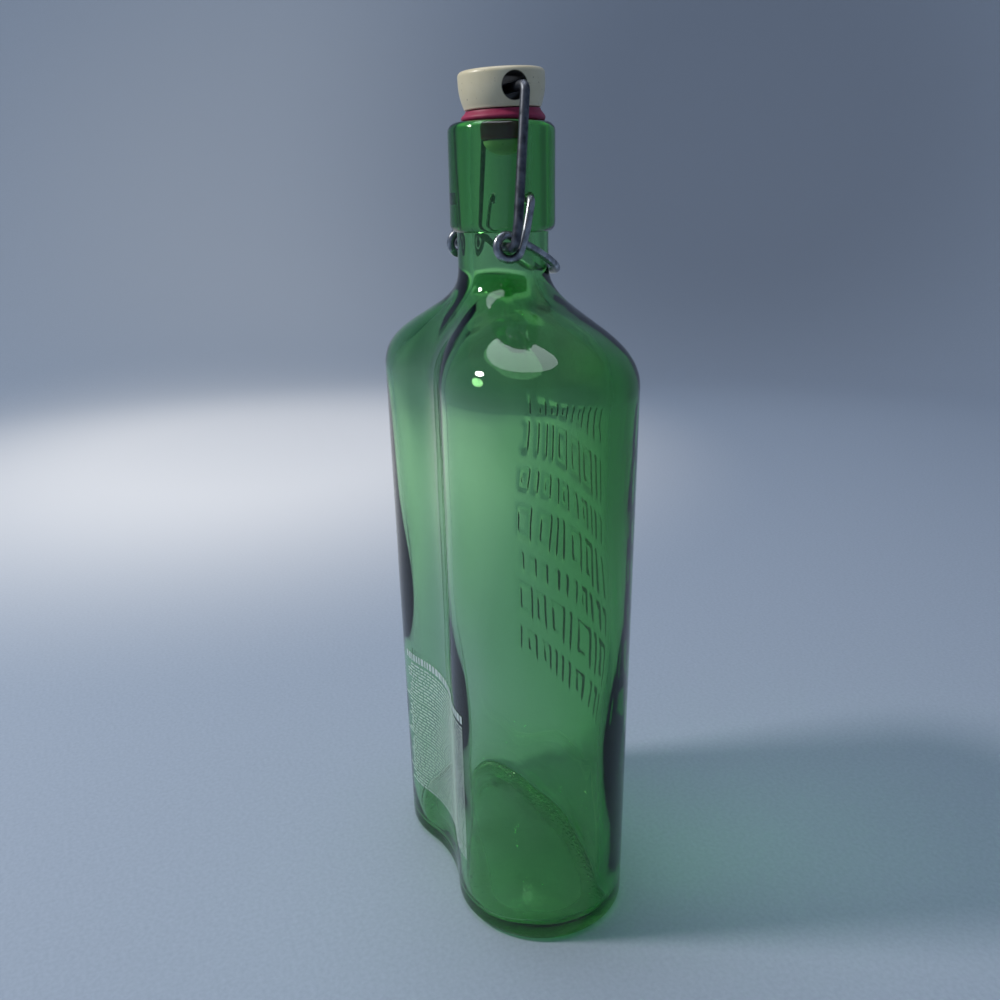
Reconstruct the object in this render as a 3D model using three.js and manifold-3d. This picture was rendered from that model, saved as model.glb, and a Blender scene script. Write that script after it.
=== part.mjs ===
// A swing-top flask bottle: a kidney-plan glass body, a ceramic stopper head with its rubber washer,
// and the two bent wires of the over-centre closure.
// Millimetres, +Z up. The bottle stands on z = 0, its wide side lies along X, the bulging front faces -Y
// and the hollow back faces +Y. The closure is shut.

import * as THREE from 'three';
import { mergeVertices } from 'three/addons/utils/BufferGeometryUtils.js';
import Module from 'manifold-3d';

const wasm = await Module();
wasm.setup();

// Glass body, in plan
const PLAN_WIDTH = 102.3;        // across both round ends, at the base
const PLAN_DEPTH = 55.4;         // front face to back face
const BACK_RADIUS = 43;          // hollow of the back face
const PLAN_FORWARD = 3.5;        // middle of the plan, in front of the neck's axis
const DRAFT = 0.0447;            // share by which the plan grows from the base to the shoulder

// Glass body, in height
const LIP_HEIGHT = 246.5;
const NECK_HEIGHT = 40;          // lip above the shoulder's top
const SHOULDER_HEIGHT = 32;      // shoulder's top above its start on the wall
const SHOULDER_ROUND = 16.5;     // reach of the round at the shoulder's edge
const NECK_SWEEP = 13;           // reach of the sweep from the shoulder into the neck
const NECK_DIAMETER = 27.1;
const FINISH_DIAMETER = 31.1;
const FINISH_HEIGHT = 27.6;
const FINISH_UNDERCUT = 2.4;     // height of the round under the finish
const LIP_ROUND = 2.6;
const MOUTH_ROUND = 1.2;
const BORE_DIAMETER = 18;
const WALL = 4.5;
const CORE_BACK = 1.8;           // inside set back, so that the front wall is the thicker one
const SHOULDER_THICKNESS = 3;    // straight down through the shoulder
const BASE_THICKNESS = 3.2;
const HEEL_RADIUS = 3;
const INNER_HEEL_RADIUS = 4;
const FOOT_WIDTH = 5;            // flat ring that the bottle stands on
const PUSH_UP = 2.8;
const FLOOR_DOME = 2.6;
const DOME_SHARE = 0.75;         // height of either dome half way in from its edge

// Wires
const LEVER_WIRE = 2.4;          // diameter
const BAIL_WIRE = 2.7;           // diameter
const WIRE_GAP = 0.5;            // between wires that pass each other
const GLASS_GAP = 0.3;           // between a wire and the glass it lies on
const BEND_RADIUS = 2.2;

// Lever: pins, eyes, arms and handle
const PIVOT_DROP = 20.6;         // pivot below the lip
const PIVOT_FORWARD = 1.2;       // pivot in front of the neck's axis
const DIMPLE_DEPTH = 3.3;
const DIMPLE_CLEARANCE = 0.5;
const PIN_END_GAP = 0.5;
const EYE_BACK = 7.7;            // eye behind the pivot
const EYE_DROP = 13;             // eye below the pivot
const EYE_CLEARANCE = 0.75;      // around the bail's hook
const ARM_CLEARANCE = 0.8;       // arm's middle, out from the finish
const ARM_SLOPE = 28;            // degrees, down towards the front
const HANDLE_CLEARANCE = 0.95;   // handle's front, off the neck
const STRAND_JOG = 0.62;         // share of the strand below the pin where it has moved out to the eye

// Bail
const LEG_TOP_CLEARANCE = 0.8;   // leg's upper end, out from the finish
const LEG_KNEE = 7;              // straight end of the leg above the eye
const HOOK_LENGTH = 8;

// Stopper head and washer, from the head's underside
const HEAD_DIAMETER = 24.8;      // at its widest
const HEAD_FOOT_DIAMETER = 22.2;
const HEAD_HEIGHT = 10.7;
const HEAD_WAIST = 7.2;          // height of the widest place
const HEAD_EDGE_ROUND = 1.4;
const HEAD_DOME = 0.5;
const HEAD_TILT = 2.4;           // degrees, front high
const HEAD_YAW = 7;              // degrees, cross hole turned from the cross wire
const HEAD_FORWARD = 0.57;       // head's middle, in front of the neck's axis
const HOLE_HEIGHT = 5.2;
const HOLE_PLAY = 4.5;           // cross hole, wider than the wire
const HOLE_SEAT_ANGLE = 59;      // degrees from straight down to where the wire pulls in the hole
const HOLE_SEAT_GAP = 1.72;
const SEAT_GAP = 0.3;            // between pieces pressed on each other
const STEM_DIAMETER = 10;
const BULB_DIAMETER = 12.6;
const BULB_LENGTH = 4;
const WASHER_THICKNESS = 3.5;    // between lip and head
const WASHER_TOP_DIAMETER = 21.6;
const WASHER_DIAMETER = 24.2;
const PLUG_DIAMETER = 13.6;
const PLUG_LENGTH = 4.6;

// Label
const LABEL_HALF_WIDTH = 27.5;
const LABEL_BOTTOM = 19.5;
const LABEL_TOP = 75.5;
const LABEL_THICKNESS = 0.2;
const LABEL_GAP = 0.25;

// Facets
const FACE_STEPS = 18;
const END_STEPS = 16;
const SHOULDER_STEPS = 11;
const ROUND_STEPS = 4;
const TURN_STEPS = 40;
const WIRE_SIDES = 10;
const HOLE_SIDES = 24;
const BEND_STEP = 18;            // degrees

// Values that follow from the driving dimensions
const RAD = Math.PI / 180;
const SHOULDER_TOP = LIP_HEIGHT - NECK_HEIGHT;
const SHOULDER_START = SHOULDER_TOP - SHOULDER_HEIGHT;
const LEVER_RADIUS = LEVER_WIRE / 2;
const BAIL_RADIUS = BAIL_WIRE / 2;
const NECK_RADIUS = NECK_DIAMETER / 2;
const FINISH_RADIUS = FINISH_DIAMETER / 2;
const BORE_RADIUS = BORE_DIAMETER / 2;
const END_RADIUS = PLAN_DEPTH / 2;
const MIDLINE_RADIUS = BACK_RADIUS + END_RADIUS;
const LOBE_X = PLAN_WIDTH / 2 - END_RADIUS;
const LOBE_ANGLE = Math.asin(LOBE_X / MIDLINE_RADIUS);
const LOBE_BACK = MIDLINE_RADIUS * (1 - Math.cos(LOBE_ANGLE));
const HOLLOW_CENTRE_Y = MIDLINE_RADIUS - PLAN_FORWARD;
const LOBE_Y = LOBE_BACK - PLAN_FORWARD;
// the neck stands off the middle of the box so that the box is centred on the origin
const NECK_Y = (1 + DRAFT) * (PLAN_FORWARD - LOBE_BACK / 2);

const PIVOT_Z = LIP_HEIGHT - PIVOT_DROP;
const EYE = { y: EYE_BACK - PIVOT_FORWARD, z: PIVOT_Z - EYE_DROP };
const EYE_RADIUS = LEVER_RADIUS + BAIL_RADIUS + EYE_CLEARANCE;
const HEAD_Z = LIP_HEIGHT + WASHER_THICKNESS;
const HOLE_RADIUS = BAIL_RADIUS + HOLE_PLAY / 2;
const HOLE = {
  y: HOLE_HEIGHT * Math.sin(HEAD_TILT * RAD) - HEAD_FORWARD,
  z: HEAD_Z + HOLE_HEIGHT * Math.cos(HEAD_TILT * RAD),
};
const SEAT_OFFSET = HOLE_PLAY / 2 - HOLE_SEAT_GAP;
const CROSS_WIRE = {
  y: HOLE.y + SEAT_OFFSET * Math.sin(HOLE_SEAT_ANGLE * RAD),
  z: HOLE.z - SEAT_OFFSET * Math.cos(HOLE_SEAT_ANGLE * RAD),
};

// Places of the wires across the bottle, from the glass outwards
const PIN_TIP_X = FINISH_RADIUS - DIMPLE_DEPTH + PIN_END_GAP;
const STRAND_TOP_X = FINISH_RADIUS + GLASS_GAP + LEVER_RADIUS;
const ARM_X = FINISH_RADIUS + ARM_CLEARANCE;
const STRAND_X = ARM_X + LEVER_WIRE + WIRE_GAP;
const LEG_X = STRAND_X + LEVER_RADIUS + BAIL_RADIUS + WIRE_GAP;
const LEG_TOP_X = FINISH_RADIUS + LEG_TOP_CLEARANCE;

const v3 = (x, y, z) => new THREE.Vector3(x, y, z);

// Closed surface through rings of equal length. A tube is closed by a point in the middle of each end ring,
// and a loop joins its last ring to its first.
function skin(rings, { loop = false, startCap = null, endCap = null } = {}) {
  const count = rings[0].length;
  const points = rings.flat();
  const triangles = [];
  const at = (ring, i) => (ring % rings.length) * count + (i % count);
  const bands = loop ? rings.length : rings.length - 1;
  for (let ring = 0; ring < bands; ring++) {
    for (let i = 0; i < count; i++) {
      triangles.push(at(ring, i), at(ring, i + 1), at(ring + 1, i + 1));
      triangles.push(at(ring, i), at(ring + 1, i + 1), at(ring + 1, i));
    }
  }
  if (!loop) {
    const first = points.push(startCap) - 1;
    const last = points.push(endCap) - 1;
    for (let i = 0; i < count; i++) {
      triangles.push(first, at(0, i + 1), at(0, i));
      triangles.push(last, at(rings.length - 1, i), at(rings.length - 1, i + 1));
    }
  }
  const geometry = new THREE.BufferGeometry();
  geometry.setAttribute('position', new THREE.Float32BufferAttribute(points.flatMap((p) => p.toArray()), 3));
  geometry.setIndex(triangles);
  return facesOut(geometry);
}

// Turns every face over if the closed surface has its faces pointing in.
function facesOut(geometry) {
  const position = geometry.getAttribute('position');
  const index = geometry.getIndex();
  const corners = [0, 1, 2].map(() => new THREE.Vector3());
  let volume = 0;
  for (let i = 0; i < index.count; i += 3) {
    corners.forEach((corner, k) => corner.fromBufferAttribute(position, index.getX(i + k)));
    volume += corners[0].dot(corners[1].cross(corners[2]));
  }
  if (volume < 0) {
    for (let i = 0; i < index.count; i += 3) {
      const second = index.getX(i + 1);
      index.setX(i + 1, index.getX(i + 2));
      index.setX(i + 2, second);
    }
  }
  return geometry;
}

function toSolid(geometry) {
  const bare = geometry.clone();
  bare.deleteAttribute('normal');
  bare.deleteAttribute('uv');
  const merged = mergeVertices(bare);
  return new wasm.Manifold(new wasm.Mesh({
    numProp: 3,
    vertProperties: new Float32Array(merged.getAttribute('position').array),
    triVerts: new Uint32Array(merged.getIndex().array),
  }));
}

function toGeometry(solid) {
  const mesh = solid.getMesh();
  const geometry = new THREE.BufferGeometry();
  geometry.setAttribute('position', new THREE.BufferAttribute(new Float32Array(mesh.vertProperties), 3));
  geometry.setIndex(new THREE.BufferAttribute(new Uint32Array(mesh.triVerts), 1));
  return geometry;
}

// Round bar along X, for cross holes and dimples.
function barAlongX(radius, fromX, toX, y, z) {
  const bar = new THREE.CylinderGeometry(radius, radius, Math.abs(toX - fromX), HOLE_SIDES);
  bar.rotateZ(Math.PI / 2);
  bar.translate((fromX + toX) / 2, y, z);
  return toSolid(bar);
}

// Kidney plan at the base, drawn in by an inset: front arc, round end, hollow back arc, round end.
// The arcs keep their middles, so that every inset of the plan has the same number of points.
function planPoints(inset) {
  const arc = (cx, cy, radius, from, to, steps) => Array.from({ length: steps }, (_, i) => {
    const angle = from + ((to - from) * i) / steps;
    return new THREE.Vector2(cx + radius * Math.cos(angle), cy + radius * Math.sin(angle));
  });
  const front = MIDLINE_RADIUS + END_RADIUS - inset;
  const back = MIDLINE_RADIUS - END_RADIUS + inset;
  const end = END_RADIUS - inset;
  const down = -Math.PI / 2;
  return [
    ...arc(0, HOLLOW_CENTRE_Y, front, down - LOBE_ANGLE, down + LOBE_ANGLE, FACE_STEPS),
    ...arc(LOBE_X, LOBE_Y, end, down + LOBE_ANGLE, down + LOBE_ANGLE + Math.PI, END_STEPS),
    ...arc(0, HOLLOW_CENTRE_Y, back, down + LOBE_ANGLE, down - LOBE_ANGLE, FACE_STEPS),
    ...arc(-LOBE_X, LOBE_Y, end, -down - LOBE_ANGLE, -down - LOBE_ANGLE + Math.PI, END_STEPS),
  ];
}

// Growth of the plan at a height, from the draft of the mould.
function growth(z) {
  return 1 + DRAFT * Math.min(z / SHOULDER_START, 1);
}

function planRing(inset, z, back = 0) {
  const size = growth(z);
  return planPoints(inset).map((p) => v3(p.x * size, p.y * size + back, z));
}

// Ring between the neck's circle (blend 0) and the plan at the shoulder (blend 1), along the same directions.
function blendRing(inset, neckRadius, blend, z, back = 0) {
  return planRing(inset, SHOULDER_START, back).map((p) => {
    const reach = Math.hypot(p.x, p.y);
    const radius = neckRadius + (reach - neckRadius) * blend;
    return v3((p.x / reach) * radius, (p.y / reach) * radius, z);
  });
}

function roundRing(radius, z) {
  return blendRing(0, radius, 0, z);
}

// Shoulder from the wall to the neck: upright at both ends, a round at the edge and a sweep into the neck.
function shoulderRings(inset, neckRadius, bottom, top, back = 0) {
  const curve = new THREE.CubicBezierCurve(
    new THREE.Vector2(1, bottom),
    new THREE.Vector2(1, bottom + SHOULDER_ROUND),
    new THREE.Vector2(0, top - NECK_SWEEP),
    new THREE.Vector2(0, top),
  );
  return curve.getPoints(SHOULDER_STEPS).map((p) => blendRing(inset, neckRadius, p.x, p.y, back));
}

function quarterSteps() {
  return Array.from({ length: ROUND_STEPS }, (_, i) => ((i + 1) / ROUND_STEPS) * (Math.PI / 2));
}

function bottleGeometry() {
  const finishBottom = LIP_HEIGHT - FINISH_HEIGHT;
  const rings = [];

  // base: push-up, foot ring and heel
  const footInset = HEEL_RADIUS + FOOT_WIDTH;
  rings.push(planRing((footInset + END_RADIUS) / 2, PUSH_UP * DOME_SHARE));
  rings.push(planRing(footInset, 0));
  rings.push(planRing(HEEL_RADIUS, 0));
  for (const a of quarterSteps()) {
    rings.push(planRing(HEEL_RADIUS * (1 - Math.sin(a)), HEEL_RADIUS * (1 - Math.cos(a))));
  }

  // wall, shoulder and neck
  rings.push(planRing(0, SHOULDER_START / 2));
  rings.push(...shoulderRings(0, NECK_RADIUS, SHOULDER_START, SHOULDER_TOP));

  // finish: round underneath, upright, round lip, round mouth
  const step = FINISH_RADIUS - NECK_RADIUS;
  rings.push(roundRing(NECK_RADIUS, finishBottom - FINISH_UNDERCUT));
  for (const a of quarterSteps()) {
    rings.push(roundRing(
      NECK_RADIUS + step * Math.sin(a),
      finishBottom - FINISH_UNDERCUT * Math.cos(a),
    ));
  }
  rings.push(roundRing(FINISH_RADIUS, LIP_HEIGHT - LIP_ROUND));
  for (const a of quarterSteps()) {
    rings.push(roundRing(
      FINISH_RADIUS - LIP_ROUND * (1 - Math.cos(a)),
      LIP_HEIGHT - LIP_ROUND * (1 - Math.sin(a)),
    ));
  }
  rings.push(roundRing(BORE_RADIUS + MOUTH_ROUND, LIP_HEIGHT));
  for (const a of quarterSteps()) {
    rings.push(roundRing(
      BORE_RADIUS + MOUTH_ROUND * (1 - Math.sin(a)),
      LIP_HEIGHT - MOUTH_ROUND * (1 - Math.cos(a)),
    ));
  }

  // inside: bore, shoulder, wall, round heel and floor
  const shoulderBottom = SHOULDER_START - SHOULDER_THICKNESS;
  const shoulderTop = SHOULDER_TOP - SHOULDER_THICKNESS;
  rings.push(...shoulderRings(WALL, BORE_RADIUS, shoulderBottom, shoulderTop, CORE_BACK).reverse());
  rings.push(planRing(WALL, SHOULDER_START / 2, CORE_BACK));
  rings.push(planRing(WALL, BASE_THICKNESS + INNER_HEEL_RADIUS, CORE_BACK));
  for (const a of quarterSteps()) {
    rings.push(planRing(
      WALL + INNER_HEEL_RADIUS * (1 - Math.cos(a)),
      BASE_THICKNESS + INNER_HEEL_RADIUS * (1 - Math.sin(a)),
      CORE_BACK,
    ));
  }
  const floorInset = (WALL + INNER_HEEL_RADIUS + END_RADIUS) / 2;
  rings.push(planRing(floorInset, BASE_THICKNESS + FLOOR_DOME * DOME_SHARE, CORE_BACK));

  const body = toSolid(skin(rings, {
    startCap: v3(0, -PLAN_FORWARD, PUSH_UP),
    endCap: v3(0, CORE_BACK - PLAN_FORWARD, BASE_THICKNESS + FLOOR_DOME),
  }));
  const dimple = (side) => barAlongX(
    LEVER_RADIUS + DIMPLE_CLEARANCE,
    side * (FINISH_RADIUS - DIMPLE_DEPTH),
    side * (FINISH_RADIUS + DIMPLE_DEPTH),
    -PIVOT_FORWARD,
    PIVOT_Z,
  );
  return toGeometry(body.subtract(dimple(-1)).subtract(dimple(1)));
}

// Rounds the inner corners of a line of points with arcs of one radius.
function roundCorners(points, radius) {
  const rounded = [points[0]];
  for (let i = 1; i < points.length - 1; i++) {
    const corner = points[i];
    const back = points[i - 1].clone().sub(corner).normalize();
    const ahead = points[i + 1].clone().sub(corner).normalize();
    const half = back.angleTo(ahead) / 2;
    const turn = Math.PI - 2 * half;
    const start = corner.clone().addScaledVector(back, radius / Math.tan(half));
    const middle = corner.clone().addScaledVector(back.clone().add(ahead).normalize(), radius / Math.sin(half));
    const steps = Math.max(1, Math.ceil(turn / (BEND_STEP * RAD)));
    for (let k = 0; k <= steps; k++) {
      const angle = (turn * k) / steps;
      const arm = start.clone().sub(middle).multiplyScalar(Math.cos(angle));
      rounded.push(middle.clone().add(arm).addScaledVector(back, -radius * Math.sin(angle)));
    }
  }
  rounded.push(points[points.length - 1]);
  return rounded;
}

// Round wire along a line of points, with flat ends.
function wireGeometry(points, radius) {
  const tangents = points.map((p, i) => {
    const before = points[Math.max(i - 1, 0)];
    const after = points[Math.min(i + 1, points.length - 1)];
    const into = p.clone().sub(before).normalize();
    return into.add(after.clone().sub(p).normalize()).normalize();
  });
  const normal = v3(0, 1, 0);
  const rings = points.map((p, i) => {
    normal.addScaledVector(tangents[i], -normal.dot(tangents[i])).normalize();
    const across = tangents[i].clone().cross(normal);
    return Array.from({ length: WIRE_SIDES }, (_, k) => {
      const angle = (2 * Math.PI * k) / WIRE_SIDES;
      return p.clone()
        .addScaledVector(normal, radius * Math.cos(angle))
        .addScaledVector(across, radius * Math.sin(angle));
    });
  });
  return skin(rings, { startCap: points[0].clone(), endCap: points[points.length - 1].clone() });
}

// Both halves of a wire that is the same on either side of the bottle, from one half that ends in the middle.
function mirrored(half) {
  const other = half.slice(0, -1).reverse().map((p) => v3(-p.x, p.y, p.z));
  return [...half, ...other];
}

// Lever: pin in its dimple, strand down to the eye, one turn of the eye, arm, and the handle round the neck.
function leverGeometry() {
  const toPivot = Math.atan2(EYE_DROP, -EYE_BACK);
  const eyeStart = toPivot + Math.acos(EYE_RADIUS / Math.hypot(EYE_BACK, EYE_DROP));
  const eyeEnd = 2.5 * Math.PI + ARM_SLOPE * RAD;
  const eyePoint = (angle, x) => v3(-x, EYE.y + EYE_RADIUS * Math.cos(angle), EYE.z + EYE_RADIUS * Math.sin(angle));

  const pinTip = v3(-PIN_TIP_X, -PIVOT_FORWARD, PIVOT_Z);
  const strandTop = v3(-STRAND_TOP_X, -PIVOT_FORWARD, PIVOT_Z);
  const strandEnd = eyePoint(eyeStart, STRAND_X);
  const jog = strandTop.clone().lerp(strandEnd, STRAND_JOG).setX(-STRAND_X);
  const strand = roundCorners([pinTip, strandTop, jog, strandEnd], BEND_RADIUS);

  const turns = Math.round(TURN_STEPS / 2);
  const eye = Array.from({ length: turns }, (_, i) => {
    const share = (i + 1) / turns;
    return eyePoint(eyeStart + (eyeEnd - eyeStart) * share, STRAND_X + (ARM_X - STRAND_X) * share);
  });

  const armStart = eye[eye.length - 1];
  const fall = Math.tan(ARM_SLOPE * RAD);
  const reach = NECK_RADIUS + HANDLE_CLEARANCE + LEVER_RADIUS;
  const quarter = Math.round(TURN_STEPS / 4);
  const handle = Array.from({ length: quarter + 1 }, (_, i) => {
    const angle = (i / quarter) * (Math.PI / 2);
    const y = -reach * Math.sin(angle);
    return v3(-ARM_X * Math.cos(angle), y, armStart.z - (armStart.y - y) * fall);
  });
  handle[quarter].setX(0);
  return wireGeometry(mirrored([...strand, ...eye, ...handle]), LEVER_RADIUS);
}

// Bail: hook through the lever's eye, leg, and the cross wire through the stopper head.
function bailGeometry() {
  const rise = Math.hypot(CROSS_WIRE.y - EYE.y, CROSS_WIRE.z - EYE.z);
  const knee = LEG_KNEE / rise;
  const half = roundCorners([
    v3(-(LEG_X - HOOK_LENGTH), EYE.y, EYE.z),
    v3(-LEG_X, EYE.y, EYE.z),
    v3(-LEG_X, EYE.y + (CROSS_WIRE.y - EYE.y) * knee, EYE.z + (CROSS_WIRE.z - EYE.z) * knee),
    v3(-LEG_TOP_X, CROSS_WIRE.y, CROSS_WIRE.z),
    v3(0, CROSS_WIRE.y, CROSS_WIRE.z),
  ], BEND_RADIUS);
  return wireGeometry(mirrored(half), BAIL_RADIUS);
}

function lathe(profile) {
  const geometry = new THREE.LatheGeometry(profile.map(([r, z]) => new THREE.Vector2(r, z)), TURN_STEPS);
  return geometry.rotateX(Math.PI / 2);
}

// Stopper head with its stem and retaining bulb, from the underside of the head, cut by the cross hole.
function headGeometry() {
  const widest = HEAD_DIAMETER / 2;
  const edge = HEAD_EDGE_ROUND;
  const rim = widest - edge;
  const side = new THREE.QuadraticBezierCurve(
    new THREE.Vector2(HEAD_FOOT_DIAMETER / 2, 0),
    new THREE.Vector2(widest, HEAD_WAIST / 2),
    new THREE.Vector2(widest, HEAD_WAIST),
  ).getPoints(ROUND_STEPS).map((p) => [p.x, p.y]);
  const top = quarterSteps().map((a) => [
    rim + edge * Math.cos(a),
    HEAD_HEIGHT - HEAD_DOME - edge + edge * Math.sin(a),
  ]);
  const bulbTop = -(WASHER_THICKNESS + PLUG_LENGTH + SEAT_GAP);
  const bulb = quarterSteps().map((a) => [
    (BULB_DIAMETER / 2) * Math.sin(a),
    bulbTop - BULB_LENGTH * Math.cos(a),
  ]);
  const solid = toSolid(lathe([
    [0, bulbTop - BULB_LENGTH],
    ...bulb,
    [STEM_DIAMETER / 2, bulbTop],
    [STEM_DIAMETER / 2, 0],
    ...side,
    [widest, HEAD_HEIGHT - HEAD_DOME - edge],
    ...top,
    [rim / 2, HEAD_HEIGHT - HEAD_DOME / 4],
    [0, HEAD_HEIGHT],
  ]));
  return toGeometry(solid.subtract(barAlongX(HOLE_RADIUS, -HEAD_DIAMETER, HEAD_DIAMETER, 0, HOLE_HEIGHT)));
}

// Washer on the stem: its top lies against the tilted head, its skirt lies level on the lip,
// and its plug reaches into the mouth.
function washerGeometry() {
  const hole = STEM_DIAMETER / 2 + SEAT_GAP;
  const tilt = HEAD_TILT * RAD;
  const ring = (radius, height) => Array.from({ length: TURN_STEPS }, (_, i) => {
    const angle = (2 * Math.PI * i) / TURN_STEPS;
    const y = radius * Math.sin(angle);
    return v3(radius * Math.cos(angle), y, height(y));
  });
  const flat = (z) => () => z;
  const onLip = (lift) => (y) => (SEAT_GAP + lift - WASHER_THICKNESS + y * Math.sin(tilt)) / Math.cos(tilt);
  const plugEnd = -(WASHER_THICKNESS + PLUG_LENGTH);
  const skirtEdge = WASHER_THICKNESS / 4;
  return skin([
    ring(hole, flat(-SEAT_GAP)),
    ring(WASHER_TOP_DIAMETER / 2, flat(-SEAT_GAP)),
    ring((WASHER_TOP_DIAMETER + WASHER_DIAMETER) / 4, onLip(WASHER_THICKNESS / 3)),
    ring(WASHER_DIAMETER / 2, onLip(skirtEdge)),
    ring(WASHER_DIAMETER / 2, onLip(0)),
    ring(PLUG_DIAMETER / 2, onLip(0)),
    ring(PLUG_DIAMETER / 2 - SEAT_GAP, flat(plugEnd)),
    ring(hole, flat(plugEnd)),
  ], { loop: true });
}

// Label film on the hollow back, following the back face from crest to crest.
function labelGeometry() {
  const band = (inset) => {
    const lobe = END_RADIUS - inset;
    const hollow = BACK_RADIUS + inset;
    const over = Math.asin((LABEL_HALF_WIDTH - LOBE_X) / lobe);
    const curve = new THREE.Path();
    const up = Math.PI / 2;
    curve.absarc(LOBE_X, LOBE_Y, lobe, up - over, up + LOBE_ANGLE, false);
    curve.absarc(0, HOLLOW_CENTRE_Y, hollow, LOBE_ANGLE - up, -LOBE_ANGLE - up, true);
    curve.absarc(-LOBE_X, LOBE_Y, lobe, up - LOBE_ANGLE, up + over, false);
    return curve.getPoints(ROUND_STEPS);
  };
  const outline = [...band(-LABEL_GAP), ...band(-LABEL_GAP - LABEL_THICKNESS).reverse()];
  const film = new THREE.ExtrudeGeometry(new THREE.Shape(outline), {
    depth: LABEL_TOP - LABEL_BOTTOM,
    bevelEnabled: false,
  });
  film.translate(0, 0, LABEL_BOTTOM);
  const position = film.getAttribute('position');
  for (let i = 0; i < position.count; i++) {
    const size = growth(position.getZ(i));
    position.setXY(i, position.getX(i) * size, position.getY(i) * size);
  }
  return film;
}

function piece(name, geometry, color, roughness, metalness) {
  const mesh = new THREE.Mesh(geometry, new THREE.MeshStandardMaterial({ color, roughness, metalness }));
  mesh.name = name;
  return mesh;
}

const assembly = new THREE.Group();
assembly.position.y = NECK_Y;

assembly.add(piece('bottle', bottleGeometry(), 0x5f9f68, 0.05, 0));
assembly.add(piece('back_label', labelGeometry(), 0xdfe6df, 0.6, 0));
assembly.add(piece('locking_lever', leverGeometry(), 0x7d8288, 0.4, 1));
assembly.add(piece('stopper_bail', bailGeometry(), 0x6f7379, 0.4, 1));

const stopper = new THREE.Group();
stopper.position.set(0, -HEAD_FORWARD, HEAD_Z);
stopper.rotation.x = -HEAD_TILT * RAD;
const head = piece('stopper_head', headGeometry(), 0xe3dcc6, 0.25, 0);
head.rotation.z = -HEAD_YAW * RAD;
stopper.add(head);
stopper.add(piece('sealing_washer', washerGeometry(), 0xa8234d, 0.5, 0));
assembly.add(stopper);

export default assembly;
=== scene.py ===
"""Looks of a swing-top flask bottle in green glass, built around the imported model.

Sizes are millimetres and meshes are metres. The bottle stands on z = 0 with its wide side along X,
the bulging front towards -Y and the hollow back towards +Y, and its closure is shut.
"""

import logging
import math
import random
from collections.abc import Callable, Sequence
from dataclasses import dataclass, field
from enum import Enum

import bmesh
import bpy
from mathutils import Matrix, Vector, noise


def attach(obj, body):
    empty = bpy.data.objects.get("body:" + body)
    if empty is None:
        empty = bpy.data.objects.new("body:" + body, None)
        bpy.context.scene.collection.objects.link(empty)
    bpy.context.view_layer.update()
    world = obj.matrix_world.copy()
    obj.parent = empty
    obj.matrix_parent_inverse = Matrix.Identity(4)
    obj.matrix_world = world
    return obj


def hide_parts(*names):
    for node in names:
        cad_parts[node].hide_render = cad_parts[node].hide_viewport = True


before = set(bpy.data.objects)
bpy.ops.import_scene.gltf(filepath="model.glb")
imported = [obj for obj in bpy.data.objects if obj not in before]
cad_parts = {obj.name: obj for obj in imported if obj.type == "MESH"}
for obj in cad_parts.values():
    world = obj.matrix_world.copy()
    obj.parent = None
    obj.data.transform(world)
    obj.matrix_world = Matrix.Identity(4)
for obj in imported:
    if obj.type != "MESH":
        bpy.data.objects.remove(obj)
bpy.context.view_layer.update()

log = logging.getLogger("bottle")

MM = 0.001
# edges above this angle in degrees are shaded sharp, where a piece has no angle of its own
CREASE = 40.0
# octaves of noise in the patches and in the grain of a finish
MOTTLE_DETAIL = 3.0
GRAIN_DETAIL = 2.0

Pair = tuple[float, float]
Ring = list[Vector]
Colour = tuple[float, float, float, float]


class Body(Enum):
    """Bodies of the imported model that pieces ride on."""

    BOTTLE = "bottle"
    LEVER = "lever"
    BAIL = "bail"
    STOPPER = "stopper"


class Slot(Enum):
    """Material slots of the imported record."""

    GLASS = "green_glass"
    PRINT = "label_film"
    LEVER_WIRE = "lever_wire"
    BAIL_WIRE = "bail_wire"
    GLAZE = "cream_glaze"
    RUBBER = "washer_rubber"


class SetOff(Enum):
    """Ways in which a bend of a profile leaves its start: along the first coordinate or the second."""

    ACROSS = "across"
    UP = "up"


# Helpers for colours and nodes


def linear(hex_colour: str) -> Colour:
    """Turns an sRGB hex value into a linear colour, by the curve of the sRGB standard.

    Args:
        hex_colour: Six hex digits, such as "d9d2bb".

    Returns:
        Linear red, green and blue, with an alpha of 1.
    """
    parts = [int(hex_colour[i:i + 2], 16) / 255 for i in (0, 2, 4)]
    red, green, blue = [p / 12.92 if p <= 0.04045 else ((p + 0.055) / 1.055) ** 2.4 for p in parts]
    return (red, green, blue, 1.0)


def per_metre(size_mm: float) -> float:
    """Texture scale at which one feature of a pattern is about this many millimetres."""
    return 1.0 / (size_mm * MM)


def add_node(
    tree: bpy.types.NodeTree,
    kind: str,
    settings: dict | None = None,
    links: dict | None = None,
) -> bpy.types.Node:
    """Adds one shader node with its settings and links.

    Args:
        tree: Node tree that takes the node.
        kind: Blender's class name of the node.
        settings: Values by input name, input number or attribute name.
        links: Output sockets by the input name or number that they feed.

    Returns:
        The new node.
    """
    node = tree.nodes.new(kind)
    for key, value in (settings or {}).items():
        if isinstance(key, int) or key in node.inputs:
            node.inputs[key].default_value = value
        else:
            setattr(node, key, value)
    for key, socket in (links or {}).items():
        tree.links.new(socket, node.inputs[key])
    return node


def new_material(name: str) -> tuple[bpy.types.Material, bpy.types.NodeTree, bpy.types.Node]:
    """Makes a material that holds only its output node.

    Args:
        name: Name of the material.

    Returns:
        The material, its node tree and its output node.
    """
    material = bpy.data.materials.new(name)
    material.use_nodes = True
    tree = material.node_tree
    tree.nodes.clear()
    return material, tree, add_node(tree, "ShaderNodeOutputMaterial")


# Helpers for objects and meshes


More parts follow.
